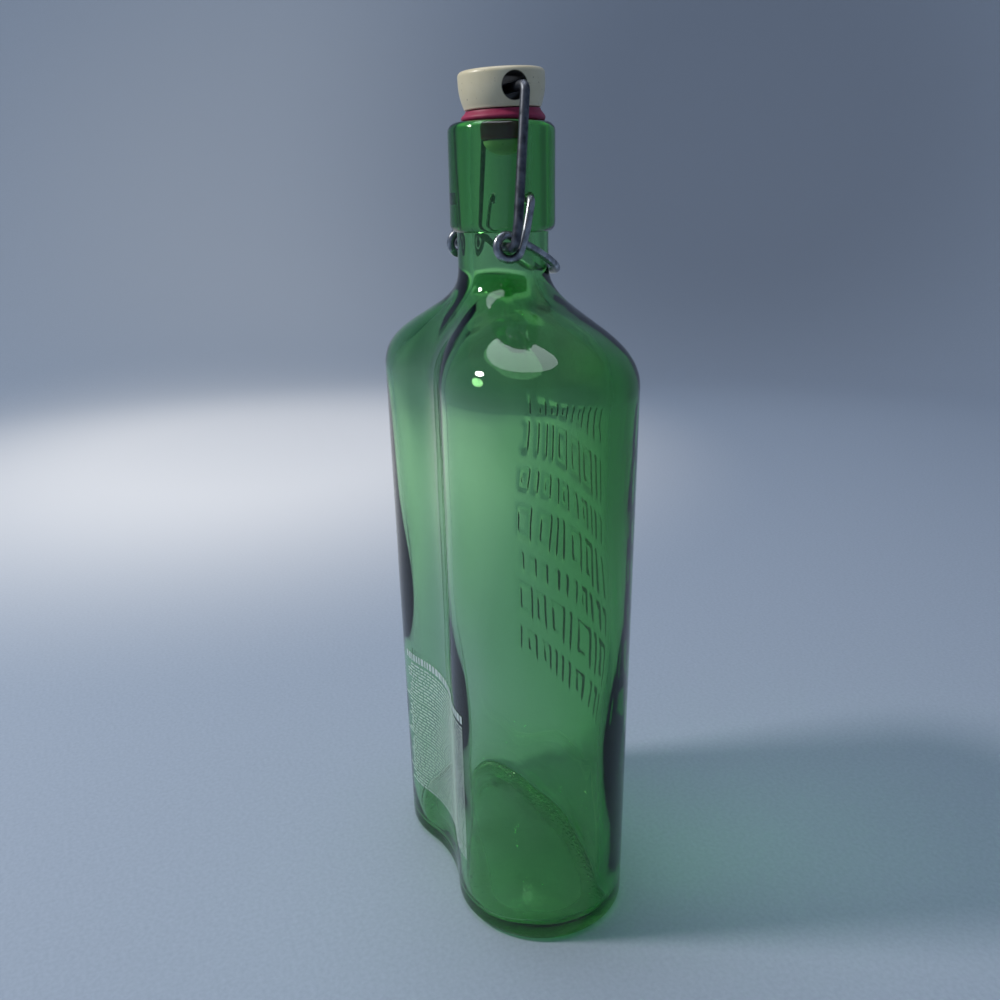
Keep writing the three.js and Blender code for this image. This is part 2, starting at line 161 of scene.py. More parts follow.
def stand(name: str, data: bpy.types.ID) -> bpy.types.Object:
    """Puts a mesh, lamp or camera into the scene.

    Args:
        name: Name of the object.
        data: Mesh, lamp or camera that it shows.

    Returns:
        The new object.
    """
    thing = bpy.data.objects.new(name, data)
    bpy.context.scene.collection.objects.link(thing)
    return thing


def smooth(mesh: bpy.types.Mesh, crease: float) -> None:
    """Shades a mesh smooth, except along edges above this angle in degrees."""
    mesh.shade_smooth()
    mesh.set_sharp_from_angle(angle=math.radians(crease))


def band_faces(rings: Sequence[Ring], loop: bool = False) -> list[tuple[int, ...]]:
    """Lists the faces between neighbouring rings.

    Args:
        rings: Rings of equal length.
        loop: True where the last ring joins the first.

    Returns:
        Faces of four points each, by the points' numbers.
    """
    count = len(rings[0])
    bands = len(rings) if loop else len(rings) - 1
    faces = []
    for band in range(bands):
        near = band * count
        far = (band + 1) % len(rings) * count
        for i in range(count):
            after = (i + 1) % count
            faces.append((near + i, near + after, far + after, far + i))
    return faces


def skin(name: str, rings: Sequence[Ring], loop: bool = False, crease: float = CREASE) -> bpy.types.Object:
    """Makes a closed, smooth shaded surface through rings of equal length.

    Args:
        name: Name of the piece.
        rings: Rings of points in millimetres.
        loop: True where the last ring joins the first, otherwise both ends are closed by a flat face.
        crease: Angle in degrees above which an edge is shaded sharp.

    Returns:
        The new object, linked to the scene.
    """
    count = len(rings[0])
    points = [p * MM for ring in rings for p in ring]
    faces = band_faces(rings, loop)
    if not loop:
        faces.append(tuple(range(count - 1, -1, -1)))
        faces.append(tuple(range(len(points) - count, len(points))))
    mesh = bpy.data.meshes.new(name)
    mesh.from_pydata(points, [], faces)
    face_out(mesh)
    smooth(mesh, crease)
    return stand(name, mesh)


def face_out(mesh: bpy.types.Mesh) -> None:
    """Turns the faces of a closed mesh outwards.

    Args:
        mesh: The mesh, which is changed in place.
    """
    work = bmesh.new()
    work.from_mesh(mesh)
    bmesh.ops.recalc_face_normals(work, faces=work.faces)
    if work.calc_volume(signed=True) < 0:
        bmesh.ops.reverse_faces(work, faces=work.faces)
    work.to_mesh(mesh)
    work.free()


def cut(piece: bpy.types.Object, cutters: Sequence[bpy.types.Object], crease: float) -> None:
    """Cuts a piece by other pieces, which are then removed.

    Args:
        piece: Piece to cut.
        cutters: Closed pieces that take material away.
        crease: Angle in degrees above which an edge is shaded sharp.
    """
    for cutter in cutters:
        modifier = piece.modifiers.new("cut", "BOOLEAN")
        modifier.operation = "DIFFERENCE"
        modifier.solver = "EXACT"
        modifier.object = cutter
    graph = bpy.context.evaluated_depsgraph_get()
    whole = piece.data
    piece.data = bpy.data.meshes.new_from_object(piece.evaluated_get(graph))
    piece.modifiers.clear()
    piece.data.name = piece.name
    smooth(piece.data, crease)
    bpy.data.meshes.remove(whole)
    for cutter in cutters:
        bpy.data.objects.remove(cutter)


def circle(radius: float, steps: int, height: Callable[[float], float]) -> Ring:
    """Ring about Z whose height follows its own y.

    Args:
        radius: Radius of the ring.
        steps: Number of points.
        height: Gives z for a point's y.

    Returns:
        The ring's points.
    """
    points = []
    for i in range(steps):
        angle = math.tau * i / steps
        y = radius * math.sin(angle)
        points.append(Vector((radius * math.cos(angle), y, height(y))))
    return points


def turned(profile: Sequence[Pair], steps: int) -> list[Ring]:
    """Rings about Z through a profile of radius and height."""
    return [circle(radius, steps, lambda _, z=z: z) for radius, z in profile]


def bar_along_x(name: str, profile: Sequence[Pair], y: float, z: float, steps: int) -> bpy.types.Object:
    """Round bar along X, for cutting holes.

    Args:
        name: Name of the piece.
        profile: Places along X with the radius there, as (x, radius).
        y: Bar's middle in Y.
        z: Bar's middle in Z.
        steps: Facets around the bar.

    Returns:
        The bar.
    """
    rings = []
    for x, radius in profile:
        angles = [math.tau * i / steps for i in range(steps)]
        rings.append([Vector((x, y + radius * math.cos(a), z + radius * math.sin(a))) for a in angles])
    return skin(name, rings)


def bend(start: Pair, stop: Pair, steps: int, set_off: SetOff) -> list[Pair]:
    """Rounds a corner of a profile with a quarter of an ellipse.

    Args:
        start: Place where the bend starts.
        stop: Place where it ends.
        steps: Number of places along it.
        set_off: Way in which the bend leaves its start.

    Returns:
        Places along the bend, without its start.
    """
    places = []
    for i in range(steps):
        angle = (i + 1) / steps * math.pi / 2
        lead = math.sin(angle)
        follow = 1 - math.cos(angle)
        first, second = (lead, follow) if set_off is SetOff.ACROSS else (follow, lead)
        places.append((start[0] + (stop[0] - start[0]) * first, start[1] + (stop[1] - start[1]) * second))
    return places


def ease(share: float) -> float:
    """Smooth step from 0 to 1 that is level at both ends."""
    held = min(max(share, 0.0), 1.0)
    return held * held * (3 - 2 * held)


def dress(piece: bpy.types.Object, material: bpy.types.Material, body: Body, slot: Slot, node: str) -> None:
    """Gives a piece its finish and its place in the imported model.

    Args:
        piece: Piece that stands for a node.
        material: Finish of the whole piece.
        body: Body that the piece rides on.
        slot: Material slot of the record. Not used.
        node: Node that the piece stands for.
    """
    piece.data.materials.clear()
    piece.data.materials.append(material)
    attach(piece, body.value)
    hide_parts(node)


# Finishes


def mottle(
    tree: bpy.types.NodeTree,
    place: bpy.types.NodeSocket,
    size_mm: float,
    first: str,
    second: str,
) -> bpy.types.NodeSocket:
    """Lays two tones of one finish in soft patches.

    Args:
        tree: Node tree of the finish.
        place: Place on the piece.
        size_mm: Size of a patch.
        first: One tone as sRGB hex.
        second: The other tone as sRGB hex.

    Returns:
        The colour.
    """
    pattern = {"Scale": per_metre(size_mm), "Detail": MOTTLE_DETAIL}
    patches = add_node(tree, "ShaderNodeTexNoise", pattern, {"Vector": place})
    tones = {"data_type": "RGBA", 6: linear(first), 7: linear(second)}
    return add_node(tree, "ShaderNodeMix", tones, {0: patches.outputs["Fac"]}).outputs[2]


def grain(
    tree: bpy.types.NodeTree,
    place: bpy.types.NodeSocket,
    size_mm: float,
    depth_mm: float,
    strength: float,
) -> bpy.types.NodeSocket:
    """Gives a finish small pits and rises.

    Args:
        tree: Node tree of the finish.
        place: Place on the piece.
        size_mm: Size of a pit.
        depth_mm: Depth of a pit.
        strength: Share of the depth that shows.

    Returns:
        The surface normal.
    """
    pattern = {"Scale": per_metre(size_mm), "Detail": GRAIN_DETAIL}
    pits = add_node(tree, "ShaderNodeTexNoise", pattern, {"Vector": place})
    depth = {"Strength": strength, "Distance": depth_mm * MM}
    return add_node(tree, "ShaderNodeBump", depth, {"Height": pits.outputs["Fac"]}).outputs["Normal"]


@dataclass(frozen=True)
class BottleGlass:
    """Soda-lime container glass, blown into an iron mould and tinted green in the melt.

    The eye gets clear glass with a wavy skin and a stippled foot. The colour is in the depth: pale green
    through a wall, deep bottle green where the sight line runs along it.
    """

    clear: str = "ffffff"
    ior: float = 1.52
    roughness: float = 0.0
    foot_roughness: float = 0.5
    tint: str = "7ce07c"
    absorption: float = 180.0
    ripple_mm: float = 9.0
    ripple_height_mm: float = 0.02
    ripple_detail: float = 1.0
    ripple_roughness: float = 0.4
    stipple_mm: float = 1.4
    stipple_height_mm: float = 0.3
    stipple_top_mm: float = 0.8
    lamp_share: str = "d8d4de"
    base_lamp_share: str = "3f9460"
    base_top_mm: float = 3.0

    def material(self) -> bpy.types.Material:
        """Makes the glass, with its colour as absorption inside.

        Returns:
            The material.
        """
        material, tree, output = new_material("soda_lime_glass_green")
        place = add_node(tree, "ShaderNodeTexCoord").outputs["Object"]
        ripple = add_node(
            tree,
            "ShaderNodeTexNoise",
            {
                "Scale": per_metre(self.ripple_mm),
                "Detail": self.ripple_detail,
                "Roughness": self.ripple_roughness,
            },
            {"Vector": place},
        )
        wavy = add_node(
            tree,
            "ShaderNodeBump",
            {"Strength": 1.0, "Distance": self.ripple_height_mm * MM},
            {"Height": ripple.outputs["Fac"]},
        )
        height = add_node(tree, "ShaderNodeSeparateXYZ", links={0: place})
        on_foot = add_node(
            tree,
            "ShaderNodeMapRange",
            {"From Max": self.stipple_top_mm * MM, "To Min": 1.0, "To Max": 0.0},
            {"Value": height.outputs["Z"]},
        )
        rough = add_node(
            tree,
            "ShaderNodeMapRange",
            {"To Min": self.roughness, "To Max": self.foot_roughness},
            {"Value": on_foot.outputs["Result"]},
        )
        dots = add_node(
            tree, "ShaderNodeTexNoise", {"Scale": per_metre(self.stipple_mm)}, {"Vector": place}
        )
        stipple = add_node(
            tree,
            "ShaderNodeBump",
            {"Distance": self.stipple_height_mm * MM},
            {
                "Strength": on_foot.outputs["Result"],
                "Height": dots.outputs["Fac"],
                "Normal": wavy.outputs["Normal"],
            },
        )
        glass = add_node(
            tree,
            "ShaderNodeBsdfPrincipled",
            {"Base Color": linear(self.clear), "IOR": self.ior, "Transmission Weight": 1.0},
            {"Roughness": rough.outputs["Result"], "Normal": stipple.outputs["Normal"]},
        )
        # some lamp light gets through each skin, green through the base, so that the shadow stays open
        in_base = add_node(
            tree,
            "ShaderNodeMath",
            {"operation": "LESS_THAN", 1: self.base_top_mm * MM},
            {0: height.outputs["Z"]},
        )
        lamp_light = add_node(
            tree,
            "ShaderNodeMix",
            {"data_type": "RGBA", 6: linear(self.lamp_share), 7: linear(self.base_lamp_share)},
            {0: in_base.outputs["Value"]},
        )
        passing = add_node(tree, "ShaderNodeBsdfTransparent", links={"Color": lamp_light.outputs[2]})
        rays = add_node(tree, "ShaderNodeLightPath")
        surface = add_node(
            tree,
            "ShaderNodeMixShader",
            links={0: rays.outputs["Is Shadow Ray"], 1: glass.outputs["BSDF"], 2: passing.outputs["BSDF"]},
        )
        depth = add_node(
            tree,
            "ShaderNodeVolumeAbsorption",
            {"Color": linear(self.tint), "Density": self.absorption},
        )
        tree.links.new(surface.outputs["Shader"], output.inputs["Surface"])
        tree.links.new(depth.outputs["Volume"], output.inputs["Volume"])
        return material


@dataclass(frozen=True)
class GlazedStoneware:
    """Slip-cast stoneware under a thin cream glaze, fired once.

    The eye gets a warm off-white that is a little uneven, a soft gloss, and a few iron specks. The cross
    hole is unglazed and rough inside, where painted shade colours it a near-black brown.
    """

    pale: str = "e8dfc0"
    warm: str = "d9cea8"
    speck: str = "7a6a4c"
    # painted shade: near-black colour of the cross hole's unglazed inside
    hole_shade: str = "241d14"
    ior: float = 1.5
    glaze_roughness: float = 0.42
    bare_roughness: float = 1.0
    coat: float = 0.2
    coat_roughness: float = 0.18
    cloud_mm: float = 4.0
    speck_mm: float = 1.1
    speck_detail: float = 1.0
    speck_from: float = 0.7
    speck_full: float = 0.76
    speck_cover: float = 0.6
    pit_mm: float = 0.5
    pit_depth_mm: float = 0.03
    pit_strength: float = 0.4
    bare_shade_edge_mm: float = 0.3

    def material(self, hole: Matrix, hole_radius_mm: float) -> bpy.types.Material:
        """Makes the glaze with its clouds, specks and pits.

        Args:
            hole: Place of the cross hole, which runs along the X of this place.
            hole_radius_mm: Radius of the cross hole.

        Returns:
            The material.
        """
        material, tree, output = new_material("stoneware_cream_glaze")
        place = add_node(tree, "ShaderNodeTexCoord").outputs["Object"]
        grit = add_node(
            tree,
            "ShaderNodeTexNoise",
            {"Scale": per_metre(self.speck_mm), "Detail": self.speck_detail},
            {"Vector": place},
        )
        few = add_node(
            tree,
            "ShaderNodeMapRange",
            {"From Min": self.speck_from, "From Max": self.speck_full, "To Max": self.speck_cover},
            {"Value": grit.outputs["Fac"]},
        )
        specked = add_node(
            tree,
            "ShaderNodeMix",
            {"data_type": "RGBA", 7: linear(self.speck)},
            {0: few.outputs["Result"], 6: mottle(tree, place, self.cloud_mm, self.pale, self.warm)},
        )
        # distance from the hole's axis tells the unglazed inside, which gets painted shade, from the
        # glaze-covered outside
        from_hole = add_node(
            tree, "ShaderNodeVectorMath", {"operation": "SUBTRACT", 1: hole.translation}, {0: place}
        )
        away = add_node(
            tree,
            "ShaderNodeVectorMath",
            {"operation": "CROSS_PRODUCT", 1: hole.col[0].to_3d().normalized()},
            {0: from_hole.outputs["Vector"]},
        )
        reach = add_node(
            tree, "ShaderNodeVectorMath", {"operation": "LENGTH"}, {0: away.outputs["Vector"]}
        )
        glazed_unshaded = add_node(
            tree,
            "ShaderNodeMapRange",
            {"From Min": hole_radius_mm * MM, "From Max": (hole_radius_mm + self.bare_shade_edge_mm) * MM},
            {"Value": reach.outputs["Value"]},
        )
        # painted shade: the inside of the cross hole is coloured near black
        colour = add_node(
            tree,
            "ShaderNodeMix",
            {"data_type": "RGBA", 6: linear(self.hole_shade)},
            {0: glazed_unshaded.outputs["Result"], 7: specked.outputs[2]},
        )
        rough = add_node(
            tree,
            "ShaderNodeMapRange",
            {"To Min": self.bare_roughness, "To Max": self.glaze_roughness},
            {"Value": glazed_unshaded.outputs["Result"]},
        )
        glaze = add_node(
            tree,
            "ShaderNodeBsdfPrincipled",
            {"IOR": self.ior, "Coat Weight": self.coat, "Coat Roughness": self.coat_roughness},
            {
                "Base Color": colour.outputs[2],
                "Roughness": rough.outputs["Result"],
                "Normal": grain(tree, place, self.pit_mm, self.pit_depth_mm, self.pit_strength),
            },
        )
        tree.links.new(glaze.outputs["BSDF"], output.inputs["Surface"])
        return material


@dataclass(frozen=True)
class GalvanisedWire:
    """Drawn steel wire with a thin zinc coat that has gone dull.

    The eye gets blue-grey metal in soft patches, with a broad sheen along the wire and no mirror. The grain
    of real zinc is finer, and it is drawn as coarse as it needs to show.
    """

    name: str
    bright: str
    dull: str
    roughness_low: float
    roughness_high: float
    patch_mm: float = 2.2
    patch_detail: float = 4.0
    patch_from: float = 0.35
    patch_full: float = 0.65
    grain_mm: float = 0.35
    grain_depth_mm: float = 0.02
    grain_strength: float = 0.5

    def material(self) -> bpy.types.Material:
        """Makes the zinc with its patches and fine grain.

        Returns:
            The material.
        """
        material, tree, output = new_material(self.name)
        place = add_node(tree, "ShaderNodeTexCoord").outputs["Object"]
        patch = add_node(
            tree,
            "ShaderNodeTexNoise",
            {"Scale": per_metre(self.patch_mm), "Detail": self.patch_detail},
            {"Vector": place},
        )
        spread = add_node(
            tree,
            "ShaderNodeMapRange",
            {"From Min": self.patch_from, "From Max": self.patch_full},
            {"Value": patch.outputs["Fac"]},
        )
        colour = add_node(
            tree,
            "ShaderNodeMix",
            {"data_type": "RGBA", 6: linear(self.bright), 7: linear(self.dull)},
            {0: spread.outputs["Result"]},
        )
        rough = add_node(
            tree,
            "ShaderNodeMapRange",
            {"To Min": self.roughness_low, "To Max": self.roughness_high},
            {"Value": spread.outputs["Result"]},
        )
        zinc = add_node(
            tree,
            "ShaderNodeBsdfPrincipled",
            {"Metallic": 1.0},
            {
                "Base Color": colour.outputs[2],
                "Roughness": rough.outputs["Result"],
                "Normal": grain(tree, place, self.grain_mm, self.grain_depth_mm, self.grain_strength),
            },
        )
        tree.links.new(zinc.outputs["BSDF"], output.inputs["Surface"])
        return material


@dataclass(frozen=True)
class MouldedRubber:
    """Moulded natural rubber, dyed crimson.

    The eye gets a deep even red with a weak, wide sheen and a faint bloom in patches. The grain is drawn
    coarser than a real mould leaves it, so that it shows.
    """

    deep: str = "98103f"
    bloom: str = "b23662"
    ior: float = 1.52
    roughness: float = 0.52
    bloom_mm: float = 2.5
    grain_mm: float = 0.4
    grain_depth_mm: float = 0.03
    grain_strength: float = 0.5

    def material(self) -> bpy.types.Material:
        """Makes the rubber with its bloom and grain.

        Returns:
            The material.
        """
        material, tree, output = new_material("moulded_rubber_crimson")
        place = add_node(tree, "ShaderNodeTexCoord").outputs["Object"]
        rubber = add_node(
            tree,
            "ShaderNodeBsdfPrincipled",
            {"Roughness": self.roughness, "IOR": self.ior},
            {
                "Base Color": mottle(tree, place, self.bloom_mm, self.deep, self.bloom),
                "Normal": grain(tree, place, self.grain_mm, self.grain_depth_mm, self.grain_strength),
            },
        )
        tree.links.new(rubber.outputs["BSDF"], output.inputs["Surface"])
        return material


@dataclass(frozen=True)
class ScreenPrint:
    """White ceramic ink, screen printed on the glass and fired.

    The eye gets a chalky white with a slightly thin, uneven cover.
    """

    full: str = "dfeae9"
    thin: str = "b6cac8"
    roughness: float = 0.6
    cover_mm: float = 1.6

    def material(self) -> bpy.types.Material:
        """Makes the ink with its uneven cover.

        Returns:
            The material.
        """
        material, tree, output = new_material("fired_ceramic_ink_white")
        place = add_node(tree, "ShaderNodeTexCoord").outputs["Object"]
        ink = add_node(
            tree,
            "ShaderNodeBsdfPrincipled",
            {"Roughness": self.roughness},
            {"Base Color": mottle(tree, place, self.cover_mm, self.full, self.thin)},
        )
        tree.links.new(ink.outputs["BSDF"], output.inputs["Surface"])
        return material


@dataclass(frozen=True)
class LightShadePool:
    """Soft round patch of another tone on the backdrop paper, painted light where it is paler and painted
    shade where it is darker.
    """

    middle_mm: tuple[float, float, float]
    radius_mm: float
    colour: str
    full_share: float = 0.25


@dataclass(frozen=True)
class BackdropPaper:
    """Seamless matt paper with soft pools of painted light and painted shade.

    The eye gets a pale blue-grey with soft pools of painted light and shade, and a faint mottle of fibres,
    which are drawn coarser than real ones so that they show.
    """

    pale: str = "b0becf"
    fibre: str = "9aa9bb"
    roughness: float = 0.9
    specular: float = 0.2
    fibre_mm: float = 1.5
    light_and_shade_pools: tuple[LightShadePool, ...] = (
        # painted light: bright pool on the floor behind the bottle
        LightShadePool((620.0, -20.0, 0.0), 480.0, "fafcfd"),
        # painted light: slightly paler patch on the sweep behind
        LightShadePool((1250.0, -250.0, 300.0), 700.0, "bac4cf"),
        # painted shade: darker patch on the sweep to the right
        LightShadePool((1050.0, -900.0, 300.0), 800.0, "8793a3"),
    )

    def material(self) -> bpy.types.Material:
        """Makes the paper with its fibres and its pools of painted light and shade.

        Returns:
            The material.
        """
        material, tree, output = new_material("backdrop_paper_pale")
        place = add_node(tree, "ShaderNodeTexCoord").outputs["Object"]
        colour = mottle(tree, place, self.fibre_mm, self.pale, self.fibre)
        # painted light and painted shade: each pool blends its tone over the paper
        for pool in self.light_and_shade_pools:
            middle = [part * MM for part in pool.middle_mm]
            away = add_node(tree, "ShaderNodeVectorMath", {"operation": "DISTANCE", 1: middle}, {0: place})
            share = add_node(
                tree,
                "ShaderNodeMapRange",
                {
                    "interpolation_type": "SMOOTHSTEP",
                    "From Min": pool.radius_mm * pool.full_share * MM,
                    "From Max": pool.radius_mm * MM,
                    "To Min": 1.0,
                    "To Max": 0.0,
                },
                {"Value": away.outputs["Value"]},
            )
            colour = add_node(
                tree,
                "ShaderNodeMix",
                {"data_type": "RGBA", 7: linear(pool.colour)},
                {0: share.outputs["Result"], 6: colour},
            ).outputs[2]
        paper = add_node(
            tree,
            "ShaderNodeBsdfPrincipled",
            {"Roughness": self.roughness, "Specular IOR Level": self.specular},
            {"Base Color": colour},
        )
        tree.links.new(paper.outputs["BSDF"], output.inputs["Surface"])
        return material


# Sub-assemblies


@dataclass(frozen=True)
class Motif:
    """One raised bar or open frame of the relief, by its edges on the front face."""

    left: float
    right: float
    low: float
    high: float
    hollow: bool

    def inside(self, along: float, z: float) -> float:
        """Distance in from the motif's edges, which is negative outside it."""
        return min(along - self.left, self.right - along, z - self.low, self.high - z)


@dataclass(frozen=True)
class MouldedRelief:
    """Rows of plain raised bars and open frames that the mould leaves on the front face."""

    half_width: float = 32.0
    top: float = 167.0
    row_heights: tuple[float, ...] = (11.0, 12.0, 8.0, 13.0, 7.0, 13.0, 9.0)
    row_gap: float = 5.5
    stroke: float = 2.3
    widest_share: float = 0.8
    narrowest_gap: float = 1.8
    widest_gap: float = 4.0
    hollow_share: float = 0.6
    rise: float = 0.65
    edge: float = 1.2
    seed: int = 5

    def motifs(self) -> list[Motif]:
        """Lays out the motifs of all rows.

        Returns:
            The motifs, from the top row down.
        """
        draw = random.Random(self.seed)
        motifs = []
        high = self.top
        for row_height in self.row_heights:
            low = high - row_height
            left = -self.half_width
            while left < self.half_width:
                hollow = draw.random() < self.hollow_share
                widest = row_height * self.widest_share
                width = draw.uniform(widest / 2, widest) if hollow else self.stroke
                motifs.append(Motif(left, left + width, low, high, hollow))
                left += width + draw.uniform(self.narrowest_gap, self.widest_gap)
            high = low - self.row_gap
        return motifs

    def height(self, motifs: Sequence[Motif], along: float, z: float) -> float:
        """Height of the relief at a place on the front face.

        Args:
            motifs: All motifs of the relief.
            along: Place along the face, from its middle.
            z: Height above the floor.

        Returns:
            Rise of the glass there.
        """
        deepest = -self.stroke
        for motif in motifs:
            inside = motif.inside(along, z)
            if motif.hollow:
                inside = min(inside, self.stroke - inside)
            deepest = max(deepest, inside)
        return self.rise * ease(deepest / self.edge + 0.5)


@dataclass(frozen=True)
class Wave:
    """One scale of unevenness in blown glass, by its size across and along the bottle."""

    across: float
    along: float
    depth: float

    def at(self, p: Vector) -> float:
        """Depth of the wave at a place."""
        return self.depth * noise.noise(Vector((p.x / self.across, p.y / self.across, p.z / self.along)))


@dataclass
class GlassBody:
    """Blown glass flask: kidney plan, square shoulders, round neck and a thick finish."""

    plan_width: float = 102.3
    plan_depth: float = 55.4
    back_radius: float = 43.0
    plan_forward: float = 3.5
    draft: float = 0.0447
    lip_height: float = 246.5
    neck_height: float = 40.0
    shoulder_height: float = 32.0
    shoulder_round: float = 16.5
    neck_sweep: float = 13.0
    neck_diameter: float = 27.1
    finish_diameter: float = 31.1
    finish_height: float = 27.6
    finish_undercut: float = 2.4
    lip_round: float = 2.6
    mouth_round: float = 1.2
    bore_diameter: float = 18.0
    wall: float = 4.5
    core_back: float = 1.8
    shoulder_thickness: float = 3.0
    base_thickness: float = 3.2
    heel_radius: float = 3.0
    inner_heel_radius: float = 4.0
    foot_width: float = 5.0
    push_up: float = 2.8
    floor_dome: float = 2.6
    middle_strip: float = 2.7
    pivot_drop: float = 20.6
    pivot_forward: float = 1.2
    dimple_depth: float = 3.3
    dimple_radius: float = 1.7
    foot_fade: float = 45.0
    wave_fade: float = 11.0
    inner_waves: tuple[Wave, ...] = (Wave(40.0, 60.0, 1.1), Wave(17.0, 42.0, 0.7))
    outer_wave: Wave = Wave(14.0, 18.0, 0.06)
    bore_wave: Wave = Wave(6.0, 45.0, 0.3)
    floor_wave: Wave = Wave(15.0, 15.0, 1.1)
    front_steps: int = 96
    back_steps: int = 36
    end_steps: int = 44
    wall_steps: int = 130
    inner_wall_steps: int = 44
    shoulder_steps: int = 36
    round_steps: int = 10
    relief: MouldedRelief = field(default_factory=MouldedRelief)
    finish: BottleGlass = field(default_factory=BottleGlass)

    @property
    def end_radius(self) -> float:
        """Radius of the plan's round ends."""
        return self.plan_depth / 2

    @property
    def midline_radius(self) -> float:
        """Radius of the line through the middle of the plan."""
        return self.back_radius + self.end_radius

    @property
    def lobe_x(self) -> float:
        """Middle of a round end, from the plane of symmetry."""
        return self.plan_width / 2 - self.end_radius

    @property
    def lobe_angle(self) -> float:
        """Half of the turn from one round end to the other."""
        return math.asin(self.lobe_x / self.midline_radius)

    @property
    def lobe_y(self) -> float:
        """Middle of a round end, behind the neck's axis."""
        return self.midline_radius * (1 - math.cos(self.lobe_angle)) - self.plan_forward

    @property
    def hollow_centre_y(self) -> float:
        """Middle of the front and back arcs, behind the neck's axis."""
        return self.midline_radius - self.plan_forward

    @property
    def neck_y(self) -> float:
        """Neck's axis in the frame, which is centred on the bottle's box."""
        return (1 + self.draft) * (self.plan_forward - (self.lobe_y + self.plan_forward) / 2)

    @property
    def neck_place(self) -> Matrix:
        """Place of the neck's axis on the floor of the frame."""
        return Matrix.Translation((0, self.neck_y * MM, 0))

    @property
    def shoulder_top(self) -> float:
        """Height at which the shoulder has become the neck."""
        return self.lip_height - self.neck_height

    @property
    def shoulder_start(self) -> float:
        """Height at which the wall turns into the shoulder."""
        return self.shoulder_top - self.shoulder_height

    @property
    def pivot_z(self) -> float:
        """Height of the lever's pins."""
        return self.lip_height - self.pivot_drop

    def growth(self, z: float) -> float:
        """Growth of the plan at a height, from the draft of the mould."""
        return 1 + self.draft * min(z / self.shoulder_start, 1.0)

    def plan(self, inset: float) -> list[Pair]:
        """Kidney plan at the base, drawn in by an inset.

        Args:
            inset: Distance inside the outer plan.

        Returns:
            Points along the front arc, a round end, the hollow back and the other end.
        """
        down = -math.pi / 2
        turn = self.lobe_angle
        front = self.midline_radius + self.end_radius - inset
        back = self.back_radius + inset
        end = self.end_radius - inset
        arcs = [
            (0.0, self.hollow_centre_y, front, down - turn, down + turn, self.front_steps),
            (self.lobe_x, self.lobe_y, end, down + turn, down + turn + math.pi, self.end_steps),
            (0.0, self.hollow_centre_y, back, down + turn, down - turn, self.back_steps),
            (-self.lobe_x, self.lobe_y, end, -down - turn, -down - turn + math.pi, self.end_steps),
        ]
        points = []
        for x, y, radius, start, stop, steps in arcs:
            for i in range(steps):
                angle = start + (stop - start) * i / steps
                points.append((x + radius * math.cos(angle), y + radius * math.sin(angle)))
        return points

    def plan_ring(self, inset: float, z: float, back: float = 0.0) -> Ring:
        """Plan at a height, drawn in by an inset and set back."""
        size = self.growth(z)
        return [Vector((x * size, y * size + back, z)) for x, y in self.plan(inset)]

    def blend_ring(self, inset: float, neck: float, blend: float, z: float, back: float = 0.0) -> Ring:
        """Ring between the neck's circle and the plan at the shoulder.

        Args:
            inset: Distance inside the outer plan.
            neck: Radius of the neck's circle.
            blend: 0 at the neck and 1 at the plan.
            z: Height of the ring.
            back: Distance by which the plan is set back.

        Returns:
            The ring's points, along the same directions from the axis as the plan's.
        """
        points = []
        for p in self.plan_ring(inset, self.shoulder_start, back):
            reach = math.hypot(p.x, p.y)
            radius = neck + (reach - neck) * blend
            points.append(Vector((p.x / reach * radius, p.y / reach * radius, z)))
        return points

    def round_ring(self, radius: float, z: float) -> Ring:
        """Circle about the neck's axis."""
        return self.blend_ring(0.0, radius, 0.0, z)

    def shoulder_rings(self, inset: float, neck: float, lowered: float, back: float = 0.0) -> list[Ring]:
        """Shoulder from the wall to the neck, upright at both ends.

        Args:
            inset: Distance inside the outer plan.
            neck: Radius of the neck's circle.
            lowered: Distance below the outer shoulder.
            back: Distance by which the plan is set back.

        Returns:
            Rings from the wall upwards.
        """
        bottom = self.shoulder_start - lowered
        top = self.shoulder_top - lowered
        heights = (bottom, bottom + self.shoulder_round, top - self.neck_sweep, top)
        blends = (1.0, 1.0, 0.0, 0.0)
        rings = []
        for i in range(self.shoulder_steps + 1):
            t = i / self.shoulder_steps
            shares = ((1 - t) ** 3, 3 * t * (1 - t) ** 2, 3 * t * t * (1 - t), t ** 3)
            z = sum(share * height for share, height in zip(shares, heights))
            blend = sum(share * value for share, value in zip(shares, blends))
            rings.append(self.blend_ring(inset, neck, blend, z, back))
        return rings

    def dome_rings(self, edge: float, z: float, rise: float, back: float = 0.0) -> list[Ring]:
        """Shallow dome from the strip in its middle out to an inset, level at both.

        Args:
            edge: Inset of the dome's edge.
            z: Height of the edge.
            rise: Height of the middle above the edge.
            back: Distance by which the plan is set back.

        Returns:
            Rings from the middle outwards.
        """
        middle = self.end_radius - self.middle_strip
        rings = []
        for i in range(self.round_steps + 1):
            share = i / self.round_steps
            inset = middle + (edge - middle) * share
            rings.append(self.plan_ring(inset, z + rise * (1 - ease(share)), back))
        return rings

